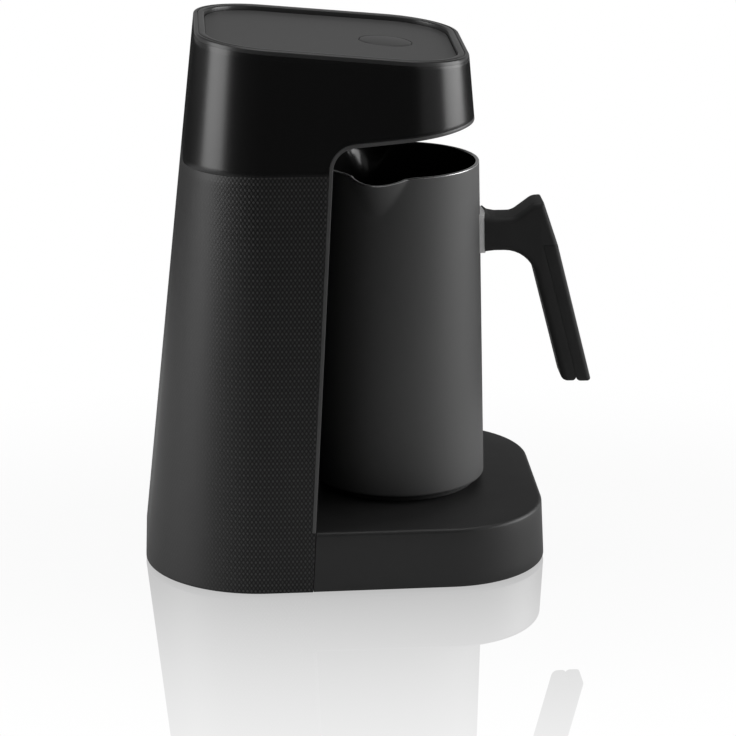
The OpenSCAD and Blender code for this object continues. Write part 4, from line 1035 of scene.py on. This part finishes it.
def jug():
    lip = 0.35
    outside = ([jug_row(level(JUG_BOTTOM), 0.9), jug_row(level(JUG_BOTTOM + 0.1), 0.35),
                jug_row(level(JUG_BOTTOM + 0.5), 0.05), jug_row(level(JUG_BOTTOM + 1.0), 0.0)]
               + [jug_row(level(z), 0.0) for z in steps(WALL_FROM, PLAIN_TOP, 10)[:-1]]
               + [jug_row(below_rim(t, lip), 0.0) for t in steps(0, 1, SPOUT_ROWS)])
    rim = [jug_row(below_rim(1, 0.1), 0.12), jug_row(below_rim(1, 0.0), 0.45),
           jug_row(below_rim(1, 0.0), JUG_WALL - 0.45), jug_row(below_rim(1, 0.1), JUG_WALL - 0.12)]
    inside = ([jug_row(below_rim(t, lip), JUG_WALL) for t in steps(1, 0, SPOUT_ROWS)]
              + [jug_row(level(z), JUG_WALL) for z in steps(PLAIN_TOP, FLOOR_TOP + 3, 8)[1:]]
              + [jug_row(level(FLOOR_TOP + 1.2), JUG_WALL + 0.5), jug_row(level(FLOOR_TOP + 0.25), JUG_WALL + 1.7),
                 jug_row(level(FLOOR_TOP), JUG_WALL + 3.2), jug_row(level(FLOOR_TOP), FLOOR_RING)])
    under = [jug_row(level(z), inset)
             for z, inset in ((FLOOR_LOW, FLOOR_RING), (FLOOR_LOW, JUG_WALL), (JUG_BOTTOM, JUG_WALL))]
    rows = outside + rim + inside + under
    count = len(rows) * JUG_COLUMNS
    faces = grid_faces(len(rows), JUG_COLUMNS, round_columns=True, round_rows=True)
    floor_row = (len(outside) + len(rim) + len(inside) - 1) * JUG_COLUMNS
    faces = [f for f in faces if not (min(f) >= floor_row and max(f) < floor_row + 2 * JUG_COLUMNS
                                      and max(f) >= floor_row + JUG_COLUMNS)]
    faces += [tuple(range(floor_row, floor_row + JUG_COLUMNS)),
              tuple(range(floor_row + 2 * JUG_COLUMNS - 1, floor_row + JUG_COLUMNS - 1, -1))]
    piece = new_mesh("jug_wall", sum(rows, []), faces)
    for finish in (jug_coat, jug_inside, rim_steel):
        piece.data.materials.append(finish)
    rim_from, rim_to = (len(outside) - 1) * JUG_COLUMNS, (len(outside) + len(rim)) * JUG_COLUMNS
    for face in piece.data.polygons:
        low, high = min(face.vertices), max(face.vertices)
        if low >= rim_from and high < rim_to + JUG_COLUMNS:
            face.material_index = 2
        elif low >= rim_to - JUG_COLUMNS and high < count - 2 * JUG_COLUMNS:
            face.material_index = 1
    return shade_smooth(face_outwards(piece), 50)


settle(jug(), "jug", "jug_metal", jug_coat, "jug_body")

# %% [markdown]
# ## The handle
# The handle is two mouldings: a shell with the arm, the thumb rest and the inner half of the grip, and a cover that
# closes the grip's outer side. Seen from the side each is a flat outline, and its long edges are well rounded. A
# bevel could round them, but it gives way where an outline has short pieces. So the handle is stacked like plywood
# and sanded round: the same outline is repeated across the width, and set in more and more towards each side.

# %% Outlines that are set in
def cross(a, b):
    return a.x * b.y - a.y * b.x


def lines_meet(p, d, q, e):
    """Where the line through p along d meets the line through q along e."""
    turn = cross(d, e)
    return p + d * (cross(q - p, e) / turn) if abs(turn) > 1e-6 else q


def inset_at(across, half, radius):
    """How far a rounded edge lies inside the outline, at a distance from the handle's middle."""
    past = across - (half - radius)
    return radius - sqrt(max(0, radius ** 2 - past ** 2)) if past > 0 else 0.0


def ring_of(corners, across, half):
    """The outline at a distance from the middle. A corner is reach, height, its radius, and the rounding of the edge
    from it to the next corner; corners run against the clock."""
    count = len(corners)
    spots = [Vector(c[:2]) for c in corners]
    ways = [(spots[(i + 1) % count] - spots[i]).normalized() for i in range(count)]
    insets = [inset_at(across, half, c[3]) for c in corners]
    starts = [spots[i] + Vector((-ways[i].y, ways[i].x)) * insets[i] for i in range(count)]
    ring = []
    for i, (_, _, radius, _) in enumerate(corners):
        before, after = ways[i - 1], ways[i]
        here = lines_meet(starts[i - 1], before, starts[i], after)
        turn = atan2(cross(before, after), before.dot(after))
        pieces = 0 if radius <= 0 else max(3, ceil(abs(turn) / radians(10)))
        inset = (insets[i - 1] + insets[i]) / 2
        radius = max(0.25, radius - inset) if turn > 0 else radius + inset
        cut = radius * tan(abs(turn) / 2)
        side = 1 if turn > 0 else -1
        centre = here - before * cut + Vector((-before.y, before.x)) * radius * side
        for k in range(pieces + 1):
            if pieces == 0:
                ring.append(here)
                continue
            a = turn * k / pieces
            arm = Vector((before.y, -before.x)) * radius * side
            ring.append(centre + Vector((arm.x * cos(a) - arm.y * sin(a), arm.x * sin(a) + arm.y * cos(a))))
    return ring


print("a 2.6 mm edge, 0.5 mm from the side, is set in", round(inset_at(7.5, 8, 2.6), 2), "mm")

# %% [markdown]
# The shell's arm ends on the bracket's foot, a steel plate that is bent to the jug's wall and stands out a little
# above and below the arm. There the arm's outline gives way to the plate's round face, and flares a little, above
# and below. The line between shell and cover is the only place with fine edges: there the two mouldings leave a hair
# of shadow.

# %% Model the handle
ARM_TOP, ARM_LOW = 134.6, 120.9
BRACKET_T, BRACKET_OVER, BRACKET_UNDER = 2.0, 1.3, 0.5
BRACKET_SIDE, BRACKET_GAP = 0.2, 0.02          # how far its sides lie inside the arm's, and its back off the jug
ARM_START = jug_r((ARM_TOP + ARM_LOW) / 2) + 0.8
HANDLE_W, HANDLE_ROUND, OUTER_ROUND, FINE_ROUND = 16.0, 2.6, 2.0, 0.1
THUMB, KNEE = (57.4, 141.0), (63.5, 123.0)
GRIP_REACH, GRIP_LOW, GRIP_T, COVER_T = 78.4, 65.7, 12.0, 6.0
SPLIT_GAP = 0.04


def outer_u(z):
    """Reach of the grip's outer face."""
    return mix(GRIP_REACH, KNEE[0], (z - GRIP_LOW) / (KNEE[1] - GRIP_LOW))


def split_u(z, side):
    return outer_u(z) - COVER_T + side * SPLIT_GAP


SPLIT_TOP = KNEE[1] + SPLIT_GAP
shell_corners = [
    (ARM_START - 2.0, ARM_LOW - 1.0, 0, HANDLE_ROUND), (ARM_START + 1.2, ARM_LOW - 0.35, 4.0, HANDLE_ROUND),
    (ARM_START + 4.5, ARM_LOW, 8.0, HANDLE_ROUND), (outer_u(ARM_LOW) - GRIP_T, ARM_LOW, 13.0, HANDLE_ROUND),
    (GRIP_REACH - GRIP_T - 0.1, GRIP_LOW, 3.2, HANDLE_ROUND), (split_u(GRIP_LOW, -1), GRIP_LOW, 1.5, FINE_ROUND),
    (split_u(SPLIT_TOP, -1), SPLIT_TOP, 0, FINE_ROUND), (outer_u(SPLIT_TOP), SPLIT_TOP, 0, OUTER_ROUND),
    (THUMB[0] + 0.1, THUMB[1] - 0.2, 1.0, HANDLE_ROUND), (53.9, 140.6, 5.0, HANDLE_ROUND),
    (45.8, ARM_TOP, 6.0, HANDLE_ROUND), (ARM_START + 5.2, ARM_TOP, 4.0, HANDLE_ROUND),
    (ARM_START + 2.4, ARM_TOP + 0.6, 3.0, HANDLE_ROUND), (ARM_START - 0.6, ARM_TOP + 2.0, 0, 0.0)]
cover_corners = [
    (split_u(GRIP_LOW, 1), GRIP_LOW - 0.2, 2.0, HANDLE_ROUND), (GRIP_REACH - 0.25, GRIP_LOW - 0.2, 1.3, OUTER_ROUND),
    (KNEE[0] + 0.03, KNEE[1] - SPLIT_GAP, 0, FINE_ROUND), (split_u(KNEE[1], 1), KNEE[1] - SPLIT_GAP, 0, FINE_ROUND)]


def levels_across():
    """Distances from the middle, close together where edges turn."""
    half = HANDLE_W / 2
    wide = [half - HANDLE_ROUND * (1 - sin(a)) for a in steps(0, pi / 2, 9)[:-1]]
    fine = [half - FINE_ROUND * (1 - sin(a)) for a in steps(0, pi / 2, 3)]
    right = sorted(wide + fine)
    return [-x for x in reversed(right)] + [0.0] + right


def hug(x, z, out=BRACKET_T):
    """Reach of a face that follows the jug's wall and stands out from it; the bracket's outer face if not said."""
    return sqrt((jug_r(z) + out) ** 2 - x * x)


def weld_plate():
    """The bracket's foot: a plate bent to the jug's wall, as wide as the arm."""
    rows = []
    heights = steps(ARM_LOW - BRACKET_UNDER, ARM_TOP + BRACKET_OVER, 8)
    for x in steps(-HANDLE_W / 2 + BRACKET_SIDE, HANDLE_W / 2 - BRACKET_SIDE, 16):
        rows.append([(x, -hug(x, z), z) for z in heights]
                    + [(x, -hug(x, z, BRACKET_GAP), z) for z in reversed(heights)])
    return rows_mesh("bracket_plate", rows, 38, ends=True)


def stacked(name, corners):
    """The same outline across the width, cut off where the bracket's foot begins."""
    rows = [[(x, -max(p.x, hug(x, p.y)), p.y) for p in ring_of(corners, abs(x), HANDLE_W / 2)]
            for x in levels_across()]
    return rows_mesh(name, rows, 38, ends=True)


for name, slot, corners in (("handle_moulding", "handle_shell", shell_corners),
                            ("grip_cover", "handle_cover", cover_corners)):
    settle(stacked(name, corners), "jug", "handle_plastic", handle_black, slot)
settle(weld_plate(), "jug", "bracket_steel", bracket_steel, "handle_bracket")

# %% [markdown]
# ## The floor
# The photograph is a studio shot on white. A pale floor catches the machine's soft shadow and a faint mirror image.
# To the camera it is mostly plain white. Everything else, shiny pieces too, sees it as lit paper that gives way to a
# dark floor on both long sides. That is one reason why the flat black sides look so black. It also means that a shiny
# piece does not show the white that the camera sees.

# %% Make the floor
PAPER_NEAR, PAPER_END = 0.2, 0.5             # metres over which the paper gives way to the dark, on both long sides
DARK_FLOOR, PAPER = 0.2, 0.85
MIRROR_START, MIRROR_AT, MIRROR_LENGTH = 0.42, 0.066, 0.14    # the mirror image: share, where, and how fast it fades
PAINT_SHARE = 0.12                           # share of lit paper in what the camera sees near the machine
SHADOW_FROM, SHADOW_TO = 0.06, 0.22          # metres over which that share, and the shadow on it, goes to nothing


def floor_finish():
    finish = Finish("floor")
    place = finish.place()
    away = finish.node("ShaderNodeVectorMath", {"operation": "LENGTH"}, {0: place * (1.0, 0.6, 1.0)}, "Value")
    bare = place.part("X").apply("ABSOLUTE").between(PAPER_NEAR, PAPER_END)
    unseen = finish.node("ShaderNodeBsdfDiffuse", {}, {"Color": bare.blend(grey(PAPER), grey(DARK_FLOOR))})
    paint = finish.node("ShaderNodeBsdfDiffuse", {}, {"Color": grey(PAPER) + (1,)})
    mirror = finish.node("ShaderNodeBsdfGlossy", {}, {"Color": (1, 1, 1, 1), "Roughness": 0.0})
    white = finish.node("ShaderNodeEmission", {}, {"Color": (1, 1, 1, 1), "Strength": 1.0})
    rays = finish.node("ShaderNodeLightPath", {}, {}, "Is Camera Ray")
    near = 1 - away.between(SHADOW_FROM, SHADOW_TO)
    lit = finish.node("ShaderNodeMixShader", {}, {0: 1 - near * PAINT_SHARE, 1: paint, 2: white})
    share = MIRROR_START * ((MIRROR_AT - away) / MIRROR_LENGTH).apply("EXPONENT").apply("MINIMUM", 1.0)
    seen = finish.node("ShaderNodeMixShader", {}, {0: share, 1: lit, 2: mirror})
    result = finish.node("ShaderNodeMixShader", {}, {0: rays, 1: unseen, 2: seen})
    finish.put(finish.tree.nodes["Material Output"].inputs["Surface"], result)
    return finish.material


FLOOR_R, FLOOR_SIDES, FLOOR_Z = 2.5, 96, -0.0002
bpy.ops.mesh.primitive_circle_add(vertices=FLOOR_SIDES, radius=FLOOR_R, fill_type="NGON", location=(0, 0, FLOOR_Z))
floor = bpy.context.object
floor.name = "floor"
floor.data.materials.append(floor_finish())
print("floor radius", FLOOR_R, "m")

# %% [markdown]
# ## Backdrop and light
# The white behind the machine is the world. The camera sees it as plain white, and so does light that goes through
# the window or comes off a perfect mirror. Soft reflections on plastic and metal do not: they see a dim room, dark on
# the camera's side of the machine and a third as strong as white beyond it, low down. Black plastic then stays as
# black as in the photograph, but shiny pieces show less of the white than they would in a white room. Two tall soft
# lamps, one in front of the machine and one behind it, draw the upright bright bands on the black corners. A weak one
# above lights the tops, and a very weak one fills the side towards the camera.

# %% Light the studio
world = bpy.data.worlds.new("studio")
bpy.context.scene.world = world
world.use_nodes = True
sky = Nodes(world.node_tree)
SOFT_LIGHT = 0.15                              # strength of the world as a lamp
DARK_ROOM, FAR_WALL, CEILING = 0.06, 0.36, 0.05    # its strength in soft reflections, by direction
WALL_TOP, CEILING_FROM = 0.2, 0.42             # heights of a direction between which wall turns into ceiling
FAR_FULL = 0.6                                 # how far along X a direction points before it sees the far wall fully
rays = sky.node("ShaderNodeLightPath", {}, {}, "Is Camera Ray")
glossy = sky.node("ShaderNodeLightPath", {}, {}, "Is Glossy Ray")
through = sky.node("ShaderNodeLightPath", {}, {}, "Is Transmission Ray")
mirrored = sky.node("ShaderNodeLightPath", {}, {}, "Is Singular Ray")
towards = sky.node("ShaderNodeTexCoord", {}, {}, "Generated")
wall = towards.part("Z").between(WALL_TOP, CEILING_FROM).blend(FAR_WALL, CEILING)
shining = towards.part("X").between(0.0, FAR_FULL).blend(DARK_ROOM, wall)
white = rays.apply("MAXIMUM", through).apply("MAXIMUM", mirrored)
strength = white.blend(glossy.blend(SOFT_LIGHT, shining), 1.0)
sky.put(world.node_tree.nodes["Background"].inputs["Color"], (1, 1, 1, 1))
sky.put(world.node_tree.nodes["Background"].inputs["Strength"], strength)


LAMPS = {                                      # place, aim and size in metres, watts, and share of its diffuse light
    "top light": ((0.1, 0.0, 1.3), (0, 0, 0.1), (0.9, 0.9), 6.0, 0.35),
    "front light": ((0.06, -1.3, 0.4), (0, 0, 0.15), (1.0, 0.8), 13.0, 1.0),
    "back light": ((-0.2, 1.28, 0.5), (0, 0, 0.2), (0.85, 1.0), 12.5, 1.0),
    "fill light": ((-0.95, -1.05, 0.5), (0, 0, 0.1), (0.8, 1.0), 1.0, 1.0)}


def softbox(name, place, aim, size, power, spread):
    """A large soft lamp that looks at a point."""
    data = bpy.data.lights.new(name, "AREA")
    data.shape = "RECTANGLE"
    data.size, data.size_y = size
    data.energy = power
    data.diffuse_factor = spread
    lamp = bpy.data.objects.new(name, data)
    bpy.context.scene.collection.objects.link(lamp)
    lamp.location = place
    lamp.rotation_euler = (Vector(aim) - Vector(place)).to_track_quat("-Z", "Y").to_euler()


for name, lamp in LAMPS.items():
    softbox(name, *lamp)
print("lamps:", list(LAMPS))

# %% [markdown]
# ## Done

# %% Finish
bpy.context.view_layer.update()
